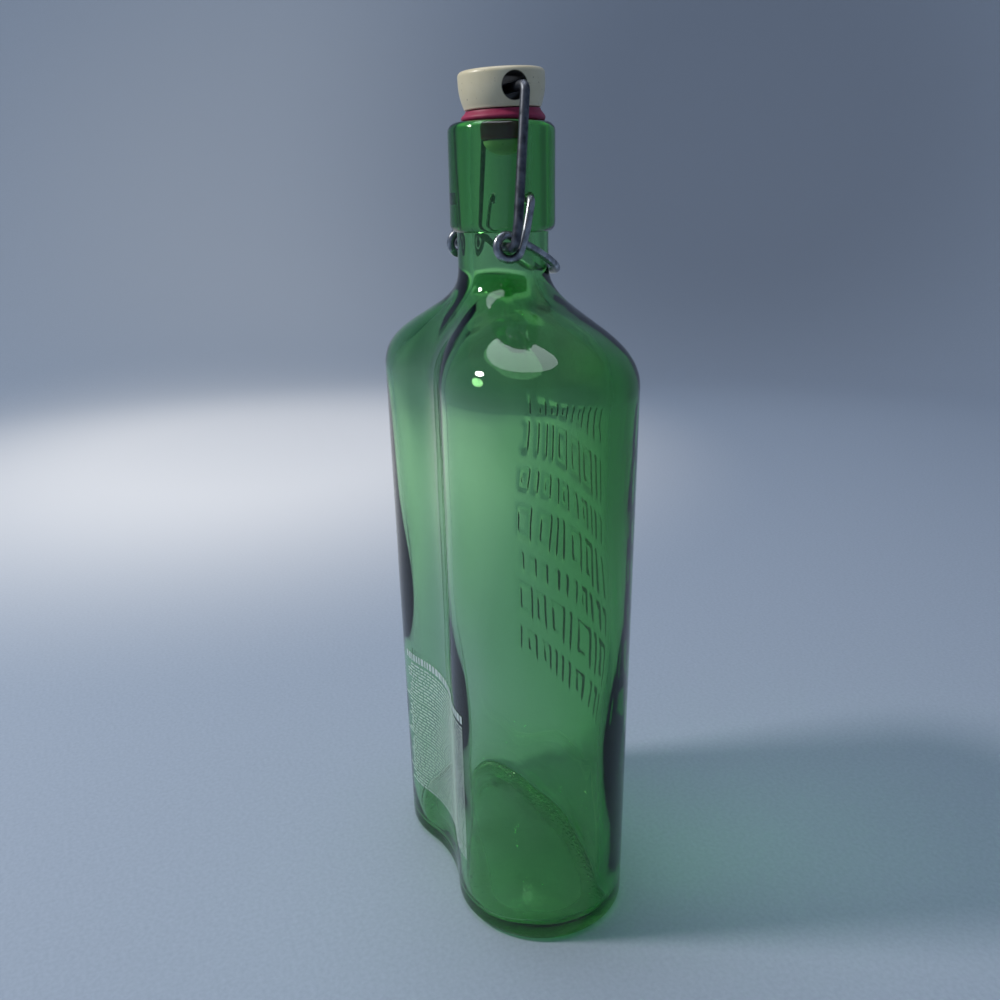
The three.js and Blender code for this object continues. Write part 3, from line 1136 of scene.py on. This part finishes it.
    def outer_rings(self) -> list[Ring]:
        """Rings of the outside: push-up, foot, wall, shoulder, neck and finish.

        Returns:
            Rings from the middle of the base to the top of the lip.
        """
        heel = self.heel_radius
        neck = self.neck_diameter / 2
        rim = self.finish_diameter / 2
        steps = self.round_steps
        finish_bottom = self.lip_height - self.finish_height
        side_top = self.lip_height - self.lip_round
        foot_edge = (heel, 0.0)
        neck_edge = (neck, finish_bottom - self.finish_undercut)
        lip_edge = (rim - self.lip_round, self.lip_height)
        upright = self.shoulder_start - heel
        outside = [foot_edge, *bend(foot_edge, (0.0, heel), steps, SetOff.ACROSS)]
        outside += [(0.0, heel + upright * i / self.wall_steps) for i in range(1, self.wall_steps)]
        finish = [neck_edge, *bend(neck_edge, (rim, finish_bottom), steps, SetOff.ACROSS)]
        side = side_top - finish_bottom
        finish += [(rim, finish_bottom + side * (i + 1) / steps) for i in range(steps)]
        finish += bend((rim, side_top), lip_edge, steps, SetOff.UP)
        rings = self.dome_rings(heel + self.foot_width, 0.0, self.push_up)
        rings += [self.plan_ring(inset, z) for inset, z in outside]
        rings += self.shoulder_rings(0.0, neck, 0.0)
        rings += [self.round_ring(radius, z) for radius, z in finish]
        return rings

    def inner_rings(self) -> list[Ring]:
        """Rings of the inside: mouth, bore, shoulder, wall and floor.

        Returns:
            Rings from the mouth down to the middle of the floor.
        """
        bore = self.bore_diameter / 2
        steps = self.round_steps
        bore_top = self.lip_height - self.mouth_round
        bore_bottom = self.shoulder_top - self.shoulder_thickness
        mouth_edge = (bore + self.mouth_round, self.lip_height)
        mouth = [mouth_edge, *bend(mouth_edge, (bore, bore_top), steps, SetOff.ACROSS)]
        mouth += [(bore, bore_top + (bore_bottom - bore_top) * i / steps) for i in range(1, steps)]
        wall_top = self.shoulder_start - self.shoulder_thickness
        wall_bottom = self.base_thickness + self.inner_heel_radius
        floor_inset = self.wall + self.inner_heel_radius
        core = [
            (self.wall, wall_top + (wall_bottom - wall_top) * (i + 1) / self.inner_wall_steps)
            for i in range(self.inner_wall_steps)
        ]
        core += bend((self.wall, wall_bottom), (floor_inset, self.base_thickness), steps, SetOff.UP)
        floor = self.dome_rings(floor_inset, self.base_thickness, self.floor_dome, self.core_back)
        rings = [self.round_ring(radius, z) for radius, z in mouth]
        rings += self.shoulder_rings(self.wall, bore, self.shoulder_thickness, self.core_back)[::-1]
        rings += [self.plan_ring(inset, z, self.core_back) for inset, z in core]
        rings += floor[-2::-1]
        return rings

    def waved(self, piece: bpy.types.Object, inner_from: int) -> None:
        """Gives the blown glass its uneven wall and the moulded relief on its front.

        Args:
            piece: The glass before its dimples are cut.
            inner_from: Number of the first point of the inside.
        """
        mesh = piece.data
        motifs = self.relief.motifs()
        ring_size = len(self.plan(0.0))
        front_half = (self.midline_radius + self.end_radius) * self.lobe_angle
        normals = [v.normal.copy() for v in mesh.vertices]
        for vertex, normal in zip(mesh.vertices, normals):
            p = vertex.co / MM
            held = ease((p.z - self.heel_radius) / self.foot_fade)
            held *= ease((self.shoulder_top - p.z) / self.wave_fade)
            if vertex.index >= inner_from:
                in_bore = ease((p.z - self.shoulder_start) / self.shoulder_height)
                on_floor = 1 - ease((p.z - self.base_thickness - self.floor_dome) / self.inner_heel_radius)
                depth = held * sum(wave.at(p) for wave in self.inner_waves)
                depth += in_bore * self.bore_wave.at(p) + on_floor * self.floor_wave.at(p)
            else:
                depth = held * self.outer_wave.at(p)
                place = vertex.index % ring_size
                if place < self.front_steps:
                    along = front_half * (2 * place / self.front_steps - 1)
                    depth += self.relief.height(motifs, along, p.z)
            vertex.co += normal * (depth * MM)

    def build(self) -> bpy.types.Object:
        """Makes the glass, cuts its two dimples and dresses it.

        Returns:
            The glass piece.
        """
        outer = self.outer_rings()
        inner = self.inner_rings()
        piece = skin("glass_body", outer + inner)
        self.waved(piece, sum(len(ring) for ring in outer))
        rim = self.finish_diameter / 2
        ends = (rim - self.dimple_depth, rim + self.dimple_depth)
        dimples = []
        for side in (-1, 1):
            profile = [(side * x, self.dimple_radius) for x in ends]
            dimple = bar_along_x("dimple", profile, -self.pivot_forward, self.pivot_z, self.end_steps)
            dimples.append(dimple)
        cut(piece, dimples, CREASE)
        piece.data.transform(self.neck_place)
        dress(piece, self.finish.material(), Body.BOTTLE, Slot.GLASS, "bottle")
        return piece


@dataclass
class BackPrint:
    """Rows of plain white bars and rules, printed on the hollow back."""

    glass: GlassBody
    half_width: float = 27.0
    bottom: float = 20.6
    top: float = 74.6
    lift: float = 0.14
    thickness: float = 0.06
    rule_height: float = 0.3
    heading_height: float = 2.6
    heading_longest: float = 1.9
    bar_height: float = 0.55
    row_pitch: float = 1.25
    rows_between_rules: int = 11
    shortest_bar: float = 0.7
    longest_bar: float = 3.2
    bar_gap: float = 0.6
    segment: float = 1.2
    crease: float = 30.0
    seed: int = 11
    finish: ScreenPrint = field(default_factory=ScreenPrint)

    def on_back(self, along: float, z: float, lift: float) -> Vector:
        """Point over the back face.

        Args:
            along: Distance from the middle, along the face.
            z: Height.
            lift: Distance off the glass.

        Returns:
            The point, from the neck's axis.
        """
        glass = self.glass
        hollow_half = glass.back_radius * glass.lobe_angle
        side = math.copysign(1.0, along)
        over = abs(along) - hollow_half
        if over <= 0:
            angle = abs(along) / glass.back_radius
            radius = glass.back_radius - lift
            x = radius * math.sin(angle)
            y = glass.hollow_centre_y - radius * math.cos(angle)
        else:
            angle = glass.lobe_angle - over / glass.end_radius
            radius = glass.end_radius + lift
            x = glass.lobe_x - radius * math.sin(angle)
            y = glass.lobe_y + radius * math.cos(angle)
        size = glass.growth(z)
        return Vector((side * x * size, y * size, z))

    def bar(self, start: float, stop: float, low: float, high: float) -> list[Ring]:
        """Rings of one printed bar, each a small upright section of the ink.

        Args:
            start: Left end along the face.
            stop: Right end along the face.
            low: Bottom height.
            high: Top height.

        Returns:
            Rings of four points, from the left end to the right.
        """
        steps = max(1, math.ceil((stop - start) / self.segment))
        outside = self.lift + self.thickness
        rings = []
        for i in range(steps + 1):
            along = start + (stop - start) * i / steps
            rings.append([
                self.on_back(along, low, self.lift),
                self.on_back(along, high, self.lift),
                self.on_back(along, high, outside),
                self.on_back(along, low, outside),
            ])
        return rings

    def row(self, draw: random.Random, top: float, height: float, longest: float) -> list[list[Ring]]:
        """Bars of one row, with a ragged right end.

        Args:
            draw: Source of the bars' lengths.
            top: Top height of the row.
            height: Height of the bars.
            longest: Length of the longest bar.

        Returns:
            The row's bars.
        """
        bars = []
        along = -self.half_width
        row_end = self.half_width - draw.uniform(longest, 2 * longest)
        while along < row_end:
            stop = along + draw.uniform(self.shortest_bar, longest)
            bars.append(self.bar(along, stop, top - height, top))
            along = stop + self.bar_gap
        return bars

    def layout(self) -> list[list[Ring]]:
        """Lays out a heading, then rules with rows of bars between them.

        Returns:
            The bars of all rows, from the top down.
        """
        draw = random.Random(self.seed)
        bars = self.row(draw, self.top, self.heading_height, self.heading_longest)
        z = self.top - self.heading_height - self.row_pitch
        row = 0
        while z - self.bar_height > self.bottom:
            row += 1
            if row % (self.rows_between_rules + 1) == 0:
                bars.append(self.bar(-self.half_width, self.half_width, z - self.rule_height, z))
            else:
                bars += self.row(draw, z, self.bar_height, self.longest_bar)
            z -= self.row_pitch
        return bars

    def build(self) -> bpy.types.Object:
        """Joins all bars into one printed piece and dresses it.

        Returns:
            The print.
        """
        parts = [skin("bar", rings, crease=self.crease) for rings in self.layout()]
        work = bmesh.new()
        for part in parts:
            work.from_mesh(part.data)
            bpy.data.objects.remove(part)
        mesh = bpy.data.meshes.new("back_print")
        work.to_mesh(mesh)
        work.free()
        mesh.transform(self.glass.neck_place)
        piece = stand("back_print", mesh)
        dress(piece, self.finish.material(), Body.BOTTLE, Slot.PRINT, "back_label")
        return piece


@dataclass
class Stopper:
    """Ceramic stopper head with its stem and bulb, and the rubber washer on the stem."""

    glass: GlassBody
    head_diameter: float = 24.8
    head_foot_diameter: float = 22.2
    head_height: float = 10.7
    head_waist: float = 7.2
    head_edge_round: float = 1.4
    head_dome: float = 0.5
    head_tilt: float = 2.4
    head_yaw: float = 7.0
    head_forward: float = 0.57
    foot_round: float = 0.5
    hole_height: float = 5.2
    hole_diameter: float = 7.2
    hole_flare: float = 0.25
    hole_flare_depth: float = 1.1
    seat_gap: float = 0.3
    stem_diameter: float = 10.0
    bulb_diameter: float = 12.6
    bulb_length: float = 4.0
    washer_thickness: float = 3.5
    washer_top_diameter: float = 21.6
    washer_diameter: float = 24.2
    washer_edge: float = 0.28
    washer_edge_round: float = 0.5
    plug_diameter: float = 13.6
    plug_length: float = 4.6
    plug_round: float = 0.7
    head_crease: float = 50.0
    hole_crease: float = 38.0
    washer_crease: float = 55.0
    turn_steps: int = 112
    round_steps: int = 10
    glaze: GlazedStoneware = field(default_factory=GlazedStoneware)
    rubber: MouldedRubber = field(default_factory=MouldedRubber)

    @property
    def head_z(self) -> float:
        """Height of the head's underside."""
        return self.glass.lip_height + self.washer_thickness

    def place(self) -> Matrix:
        """Place of the tilted stopper in the frame."""
        middle = Vector((0, self.glass.neck_y - self.head_forward, self.head_z)) * MM
        return Matrix.Translation(middle) @ Matrix.Rotation(math.radians(-self.head_tilt), 4, "X")

    def head_profile(self) -> list[Pair]:
        """Profile of the bulb, stem and head.

        Returns:
            Radius and height of each place, from the bulb's tip up to the crown.
        """
        widest = self.head_diameter / 2
        rim = widest - self.head_edge_round
        foot = self.head_foot_diameter / 2
        stem = self.stem_diameter / 2
        bulb_top = -(self.washer_thickness + self.plug_length + self.seat_gap)
        bulb_tip = (0.0, bulb_top - self.bulb_length)
        foot_edge = (foot - self.foot_round, 0.0)
        profile = bend(bulb_tip, (self.bulb_diameter / 2, bulb_top), self.round_steps, SetOff.ACROSS)
        profile += [(stem, bulb_top), (stem, 0.0), foot_edge]
        profile += bend(foot_edge, (foot, self.foot_round), self.round_steps, SetOff.ACROSS)
        for i in range(1, self.round_steps + 1):
            t = i / self.round_steps
            bow = 2 * t * (1 - t)
            radius = foot * (1 - t) ** 2 + widest * (bow + t * t)
            start = self.foot_round * (1 - t) ** 2
            profile.append((radius, start + bow * self.head_waist / 2 + t * t * self.head_waist))
        crown_edge = self.head_height - self.head_dome
        side_top = (widest, crown_edge - self.head_edge_round)
        profile += [side_top, *bend(side_top, (rim, crown_edge), self.round_steps, SetOff.UP)]
        for i in range(1, self.round_steps):
            share = 1 - i / self.round_steps
            profile.append((rim * share, self.head_height - self.head_dome * share * share))
        return profile

    def build_head(self) -> bpy.types.Object:
        """Makes the ceramic head with its cross hole.

        Returns:
            The head.
        """
        head = turned(self.head_profile(), self.turn_steps)
        piece = skin("ceramic_head", head, crease=self.head_crease)
        half = self.head_diameter / 2
        inside = half - self.hole_flare_depth
        bore = self.hole_diameter / 2
        flare = bend((inside, bore), (half, bore + self.hole_flare), self.round_steps, SetOff.ACROSS)
        half_bar = [(inside, bore), *flare, (half + self.hole_flare_depth, bore + 2 * self.hole_flare)]
        whole_bar = [(-x, radius) for x, radius in half_bar[::-1]] + half_bar
        hole = bar_along_x("cross_hole", whole_bar, 0.0, self.hole_height, self.turn_steps // 2)
        cut(piece, [hole], self.hole_crease)
        place = self.place() @ Matrix.Rotation(math.radians(-self.head_yaw), 4, "Z")
        piece.data.transform(place)
        axis = place @ Matrix.Translation((0, 0, self.hole_height * MM))
        dress(piece, self.glaze.material(axis, bore), Body.STOPPER, Slot.GLAZE, "stopper_head")
        return piece

    def washer_rings(self) -> list[Ring]:
        """Rings of the washer: its top, the skirt down to the lip, and the plug in the mouth.

        Returns:
            Rings from the washer's hole, round its section and back.
        """
        tilt = math.radians(self.head_tilt)
        steps = self.turn_steps
        hole = self.stem_diameter / 2 + self.seat_gap
        top = self.washer_top_diameter / 2
        skirt = self.washer_diameter / 2
        plug = self.plug_diameter / 2
        plug_top = -self.washer_thickness - self.seat_gap
        plug_end = -self.washer_thickness - self.plug_length

        def level(share: float) -> Callable[[float], float]:
            """Height between the lip and the head's underside, across the tilted washer.

            Args:
                share: 0 at the lip and 1 at the head.

            Returns:
                A function that gives z for a point's y.
            """

            def height(y: float) -> float:
                """Height at one place across the washer."""
                on_lip = (self.seat_gap - self.washer_thickness + y * math.sin(tilt)) / math.cos(tilt)
                return on_lip + (-self.seat_gap - on_lip) * share

            return height

        rings = [circle(hole, steps, level(1.0))]
        for i in range(self.round_steps + 1):
            share = i / self.round_steps
            radius = top + (skirt - top) * ease(share)
            rings.append(circle(radius, steps, level(1 - (1 - self.washer_edge) * share)))
        skirt_end = (skirt - self.washer_edge_round, 0.0)
        for radius, share in bend((skirt, self.washer_edge), skirt_end, self.round_steps, SetOff.UP):
            rings.append(circle(radius, steps, level(share)))
        plug_side = (plug, plug_end + self.plug_round)
        plug_profile = [(plug, plug_top), plug_side]
        plug_profile += bend(plug_side, (plug - self.plug_round, plug_end), self.round_steps, SetOff.UP)
        plug_profile.append((hole, plug_end))
        return rings + turned(plug_profile, steps)

    def build_washer(self) -> bpy.types.Object:
        """Makes the washer: its top lies against the head, its skirt on the lip, its plug in the mouth.

        Returns:
            The washer.
        """
        piece = skin("rubber_washer", self.washer_rings(), loop=True, crease=self.washer_crease)
        piece.data.transform(self.place())
        dress(piece, self.rubber.material(), Body.STOPPER, Slot.RUBBER, "sealing_washer")
        return piece


@dataclass
class WireClosure:
    """Over-centre closure of two bent wires: the lever on the glass and the bail through the head."""

    glass: GlassBody
    stopper: Stopper
    lever_diameter: float = 2.4
    bail_diameter: float = 2.7
    wire_gap: float = 0.5
    glass_gap: float = 0.3
    bend_radius: float = 2.2
    pin_end_gap: float = 0.5
    eye_back: float = 7.7
    eye_drop: float = 13.0
    eye_clearance: float = 0.75
    arm_clearance: float = 0.8
    arm_slope: float = 28.0
    handle_clearance: float = 0.95
    strand_jog: float = 0.62
    leg_top_clearance: float = 0.8
    leg_knee: float = 7.0
    hook_length: float = 8.0
    seat_angle: float = 59.0
    seat_clearance: float = 1.72
    end_round: float = 0.5
    crease: float = 50.0
    wire_sides: int = 24
    end_steps: int = 4
    turn_steps: int = 120
    bend_step: float = 6.0
    lever_finish: GalvanisedWire = GalvanisedWire("galvanised_steel_lever", "b4b9bf", "7c8189", 0.24, 0.42)
    bail_finish: GalvanisedWire = GalvanisedWire("galvanised_steel_bail", "70747c", "43474e", 0.38, 0.56)

    @property
    def lever_radius(self) -> float:
        """Radius of the lever's wire."""
        return self.lever_diameter / 2

    @property
    def bail_radius(self) -> float:
        """Radius of the bail's wire."""
        return self.bail_diameter / 2

    @property
    def finish_radius(self) -> float:
        """Radius of the glass finish."""
        return self.glass.finish_diameter / 2

    @property
    def arm_x(self) -> float:
        """Lever's arm, out from the plane of symmetry."""
        return self.finish_radius + self.arm_clearance

    @property
    def strand_x(self) -> float:
        """Lever's strand at the eye, outside its arm."""
        return self.arm_x + self.lever_diameter + self.wire_gap

    @property
    def leg_x(self) -> float:
        """Bail's leg at the eye, outside the lever's strand."""
        return self.strand_x + self.lever_radius + self.bail_radius + self.wire_gap

    @property
    def eye(self) -> Pair:
        """Middle of the lever's eye, as y and z from the neck's axis."""
        return self.eye_back - self.glass.pivot_forward, self.glass.pivot_z - self.eye_drop

    @property
    def cross_wire(self) -> Pair:
        """Middle of the bail's wire in the head's cross hole.

        Returns:
            Its y from the neck's axis, and its z.
        """
        stopper = self.stopper
        tilt = math.radians(stopper.head_tilt)
        hole_y = stopper.hole_height * math.sin(tilt) - stopper.head_forward
        hole_z = stopper.head_z + stopper.hole_height * math.cos(tilt)
        play = stopper.hole_diameter / 2 - self.bail_radius - self.seat_clearance
        pull = math.radians(self.seat_angle)
        return hole_y + play * math.sin(pull), hole_z - play * math.cos(pull)

    def rounded(self, points: Sequence[Vector]) -> list[Vector]:
        """Rounds the inner corners of a line of points.

        Args:
            points: Corners of the line.

        Returns:
            The line with an arc at each inner corner.
        """
        line = [points[0]]
        for before, corner, after in zip(points, points[1:], points[2:]):
            back = (before - corner).normalized()
            ahead = (after - corner).normalized()
            half = back.angle(ahead) / 2
            turn = math.pi - 2 * half
            start = corner + back * (self.bend_radius / math.tan(half))
            middle = corner + (back + ahead).normalized() * (self.bend_radius / math.sin(half))
            steps = max(1, math.ceil(turn / math.radians(self.bend_step)))
            for k in range(steps + 1):
                angle = turn * k / steps
                arm = (start - middle) * math.cos(angle)
                line.append(middle + arm - back * (self.bend_radius * math.sin(angle)))
        line.append(points[-1])
        return line

    def sweep(self, name: str, line: Sequence[Vector], radius: float) -> bpy.types.Object:
        """Makes a round wire along a line, with its ends rounded off.

        Args:
            name: Name of the piece.
            line: Points along the middle of the wire.
            radius: Radius of the wire.

        Returns:
            The wire.
        """
        first = (line[1] - line[0]).normalized()
        last = (line[-2] - line[-1]).normalized()
        tip = bend((0.0, radius - self.end_round), (self.end_round, radius), self.end_steps, SetOff.UP)
        path = [(line[0] + first * inward, reach) for inward, reach in tip]
        path += [(p, radius) for p in line[1:-1]]
        path += [(line[-1] + last * inward, reach) for inward, reach in reversed(tip)]
        normal = Vector((0, 1, 0))
        rings = []
        for i, (p, reach) in enumerate(path):
            before = path[max(i - 1, 0)][0]
            after = path[min(i + 1, len(path) - 1)][0]
            into = (p - before).normalized()
            out = (after - p).normalized()
            along = (into + out).normalized()
            normal = (normal - along * normal.dot(along)).normalized()
            across = along.cross(normal)
            ring = []
            for k in range(self.wire_sides):
                angle = math.tau * k / self.wire_sides
                ring.append(p + normal * (reach * math.cos(angle)) + across * (reach * math.sin(angle)))
            rings.append(ring)
        piece = skin(name, rings, crease=self.crease)
        piece.data.transform(self.glass.neck_place)
        return piece

    def mirrored(self, half: Sequence[Vector]) -> list[Vector]:
        """Whole line of a wire from the half that ends in the middle."""
        other = [Vector((-p.x, p.y, p.z)) for p in reversed(half[:-1])]
        return [*half, *other]

    def build_lever(self) -> bpy.types.Object:
        """Makes the lever: pin, strand, most of a turn round the eye, arm, and the handle round the neck.

        Returns:
            The lever.
        """
        eye_y, eye_z = self.eye
        pivot_z = self.glass.pivot_z
        eye_radius = self.lever_radius + self.bail_radius + self.eye_clearance
        slope = math.radians(self.arm_slope)
        to_pivot = math.atan2(self.eye_drop, -self.eye_back)
        eye_start = to_pivot + math.acos(eye_radius / math.hypot(self.eye_back, self.eye_drop))
        # counted on past a full turn, the wire leaves the eye where its slope is the arm's
        eye_end = math.tau + math.pi / 2 + slope

        def eye_point(angle: float, x: float) -> Vector:
            """Point on the eye's turn at a distance from the plane of symmetry."""
            return Vector((-x, eye_y + eye_radius * math.cos(angle), eye_z + eye_radius * math.sin(angle)))

        pin_tip = self.finish_radius - self.glass.dimple_depth + self.pin_end_gap
        pivot_y = -self.glass.pivot_forward
        strand_top = Vector((-(self.finish_radius + self.glass_gap + self.lever_radius), pivot_y, pivot_z))
        strand_end = eye_point(eye_start, self.strand_x)
        jog = strand_top.lerp(strand_end, self.strand_jog)
        jog.x = -self.strand_x
        line = self.rounded([Vector((-pin_tip, pivot_y, pivot_z)), strand_top, jog, strand_end])

        turns = self.turn_steps // 2
        for i in range(1, turns + 1):
            share = i / turns
            x = self.strand_x + (self.arm_x - self.strand_x) * share
            line.append(eye_point(eye_start + (eye_end - eye_start) * share, x))

        arm_start = line[-1]
        reach = self.glass.neck_diameter / 2 + self.handle_clearance + self.lever_radius
        quarter_steps = self.turn_steps // 4
        for i in range(quarter_steps + 1):
            angle = i / quarter_steps * math.pi / 2
            y = -reach * math.sin(angle)
            x = -self.arm_x * math.cos(angle)
            line.append(Vector((x, y, arm_start.z - (arm_start.y - y) * math.tan(slope))))
        piece = self.sweep("lever_wire", self.mirrored(line), self.lever_radius)
        dress(piece, self.lever_finish.material(), Body.LEVER, Slot.LEVER_WIRE, "locking_lever")
        return piece

    def build_bail(self) -> bpy.types.Object:
        """Makes the bail: hook through the eye, leg, and the cross wire through the head.

        Returns:
            The bail.
        """
        eye_y, eye_z = self.eye
        cross_y, cross_z = self.cross_wire
        knee = self.leg_knee / math.hypot(cross_y - eye_y, cross_z - eye_z)
        top_x = self.finish_radius + self.leg_top_clearance
        half = self.rounded([
            Vector((self.hook_length - self.leg_x, eye_y, eye_z)),
            Vector((-self.leg_x, eye_y, eye_z)),
            Vector((-self.leg_x, eye_y + (cross_y - eye_y) * knee, eye_z + (cross_z - eye_z) * knee)),
            Vector((-top_x, cross_y, cross_z)),
            Vector((0, cross_y, cross_z)),
        ])
        piece = self.sweep("bail_wire", self.mirrored(half), self.bail_radius)
        dress(piece, self.bail_finish.material(), Body.BAIL, Slot.BAIL_WIRE, "stopper_bail")
        return piece


@dataclass(frozen=True)
class Lamp:
    """Round soft lamp: its place and diameter in millimetres, its power in watts and its sRGB colour."""

    name: str
    place: tuple[float, float, float]
    across: float
    power: float
    colour: str


@dataclass
class Studio:
    """Pale paper sweep, soft lamps and the camera."""

    glass: GlassBody
    floor_radius: float = 900.0
    floor_shares: tuple[float, ...] = (0.02, 0.3, 0.7, 1.0)
    floor_drop: float = 0.1
    sweep_radius: float = 520.0
    wall_height: float = 1500.0
    turn_steps: int = 128
    round_steps: int = 24
    paper: BackdropPaper = field(default_factory=BackdropPaper)
    lamps: tuple[Lamp, ...] = (
        Lamp("key", (330.0, 900.0, 1050.0), 200.0, 9.5, "fffaf2"),
        Lamp("top", (250.0, 60.0, 1500.0), 1000.0, 7.0, "eef3ff"),
    )
    sky: str = "8f96a8"
    sky_strength: float = 0.42
    image_side_px: float = 1000.0
    focal_px: float = 926.4
    camera_distance: float = 285.8
    camera_height: float = 227.0
    camera_bearing: float = 24.505
    camera_pitch: float = 18.266
    camera_yaw: float = 0.445
    camera_roll: float = -1.011
    sensor: float = 36.0
    nearest_sight: float = 10.0

    @property
    def heading(self) -> float:
        """Bearing of the sight line, in radians from +X."""
        return math.radians(self.camera_yaw - self.camera_bearing)

    @property
    def eye(self) -> Vector:
        """Place of the camera.

        Returns:
            The place in millimetres.
        """
        bearing = math.radians(self.camera_bearing)
        return Vector((
            -self.camera_distance * math.cos(bearing),
            self.glass.neck_y + self.camera_distance * math.sin(bearing),
            self.camera_height,
        ))

    def build_floor(self) -> bpy.types.Object:
        """Makes the floor, which sweeps up into a round wall.

        Returns:
            The floor.
        """
        low = -self.floor_drop
        wall = self.floor_radius + self.sweep_radius
        flat_end = (self.floor_radius, low)
        profile = [(share * self.floor_radius, low) for share in self.floor_shares]
        profile += bend(flat_end, (wall, low + self.sweep_radius), self.round_steps, SetOff.ACROSS)
        profile.append((wall, self.wall_height))
        rings = turned(profile, self.turn_steps)
        points = [p * MM for ring in rings for p in ring]
        faces = [tuple(range(self.turn_steps))]
        faces += [face[::-1] for face in band_faces(rings)]
        mesh = bpy.data.meshes.new("backdrop")
        mesh.from_pydata(points, [], faces)
        mesh.shade_smooth()
        mesh.materials.append(self.paper.material())
        floor = stand("backdrop", mesh)
        return floor

    def add_lamp(self, lamp: Lamp) -> None:
        """Adds a lamp that faces the middle of the bottle.

        Args:
            lamp: The lamp to add.
        """
        data = bpy.data.lights.new(lamp.name, "AREA")
        data.shape = "DISK"
        data.size = lamp.across * MM
        data.energy = lamp.power
        data.color = linear(lamp.colour)[:3]
        disc = stand(lamp.name, data)
        disc.location = Vector(lamp.place) * MM
        aim = Vector((0, 0, self.glass.lip_height / 2)) * MM
        disc.rotation_mode = "QUATERNION"
        disc.rotation_quaternion = (aim - disc.location).to_track_quat("-Z", "Y")

    def build_light(self) -> None:
        """Adds the lamps and the dim room around them."""
        for lamp in self.lamps:
            self.add_lamp(lamp)
        world = bpy.data.worlds.new("studio_room")
        world.use_nodes = True
        tree = world.node_tree
        tree.nodes.clear()
        room = add_node(
            tree, "ShaderNodeBackground", {"Color": linear(self.sky), "Strength": self.sky_strength}
        )
        add_node(tree, "ShaderNodeOutputWorld", links={"Surface": room.outputs["Background"]})
        bpy.context.scene.world = world

    def build_camera(self) -> bpy.types.Object:
        """Sets the camera at the photograph's angle.

        Returns:
            The camera.
        """
        pitch = math.radians(self.camera_pitch)
        roll = math.radians(self.camera_roll)
        level = Vector((math.cos(self.heading), math.sin(self.heading), 0))
        right = level.cross(Vector((0, 0, 1)))
        forward = level * math.cos(pitch) - Vector((0, 0, math.sin(pitch)))
        up = right.cross(forward)
        turned_right = right * math.cos(roll) + up * math.sin(roll)
        turned_up = up * math.cos(roll) - right * math.sin(roll)
        data = bpy.data.cameras.new("camera")
        data.sensor_width = self.sensor
        data.lens = self.focal_px / self.image_side_px * self.sensor
        data.clip_start = self.nearest_sight * MM
        camera = stand("camera", data)
        turn = Matrix((turned_right, turned_up, -forward)).transposed().to_4x4()
        camera.matrix_world = Matrix.Translation(self.eye * MM) @ turn
        bpy.context.scene.camera = camera
        return camera


def main() -> None:
    """Builds the studio and every piece of the bottle."""
    logging.basicConfig(level=logging.INFO, format="%(name)s: %(message)s")
    bpy.context.scene.view_settings.view_transform = "Standard"
    glass = GlassBody()
    stopper = Stopper(glass)
    closure = WireClosure(glass, stopper)
    studio = Studio(glass)
    studio.build_camera()
    studio.build_floor()
    studio.build_light()
    pieces = [
        glass.build(),
        BackPrint(glass).build(),
        stopper.build_head(),
        stopper.build_washer(),
        closure.build_lever(),
        closure.build_bail(),
    ]
    for piece in pieces:
        log.info("%s: %d faces", piece.name, len(piece.data.polygons))


if __name__ == "__main__":
    main()
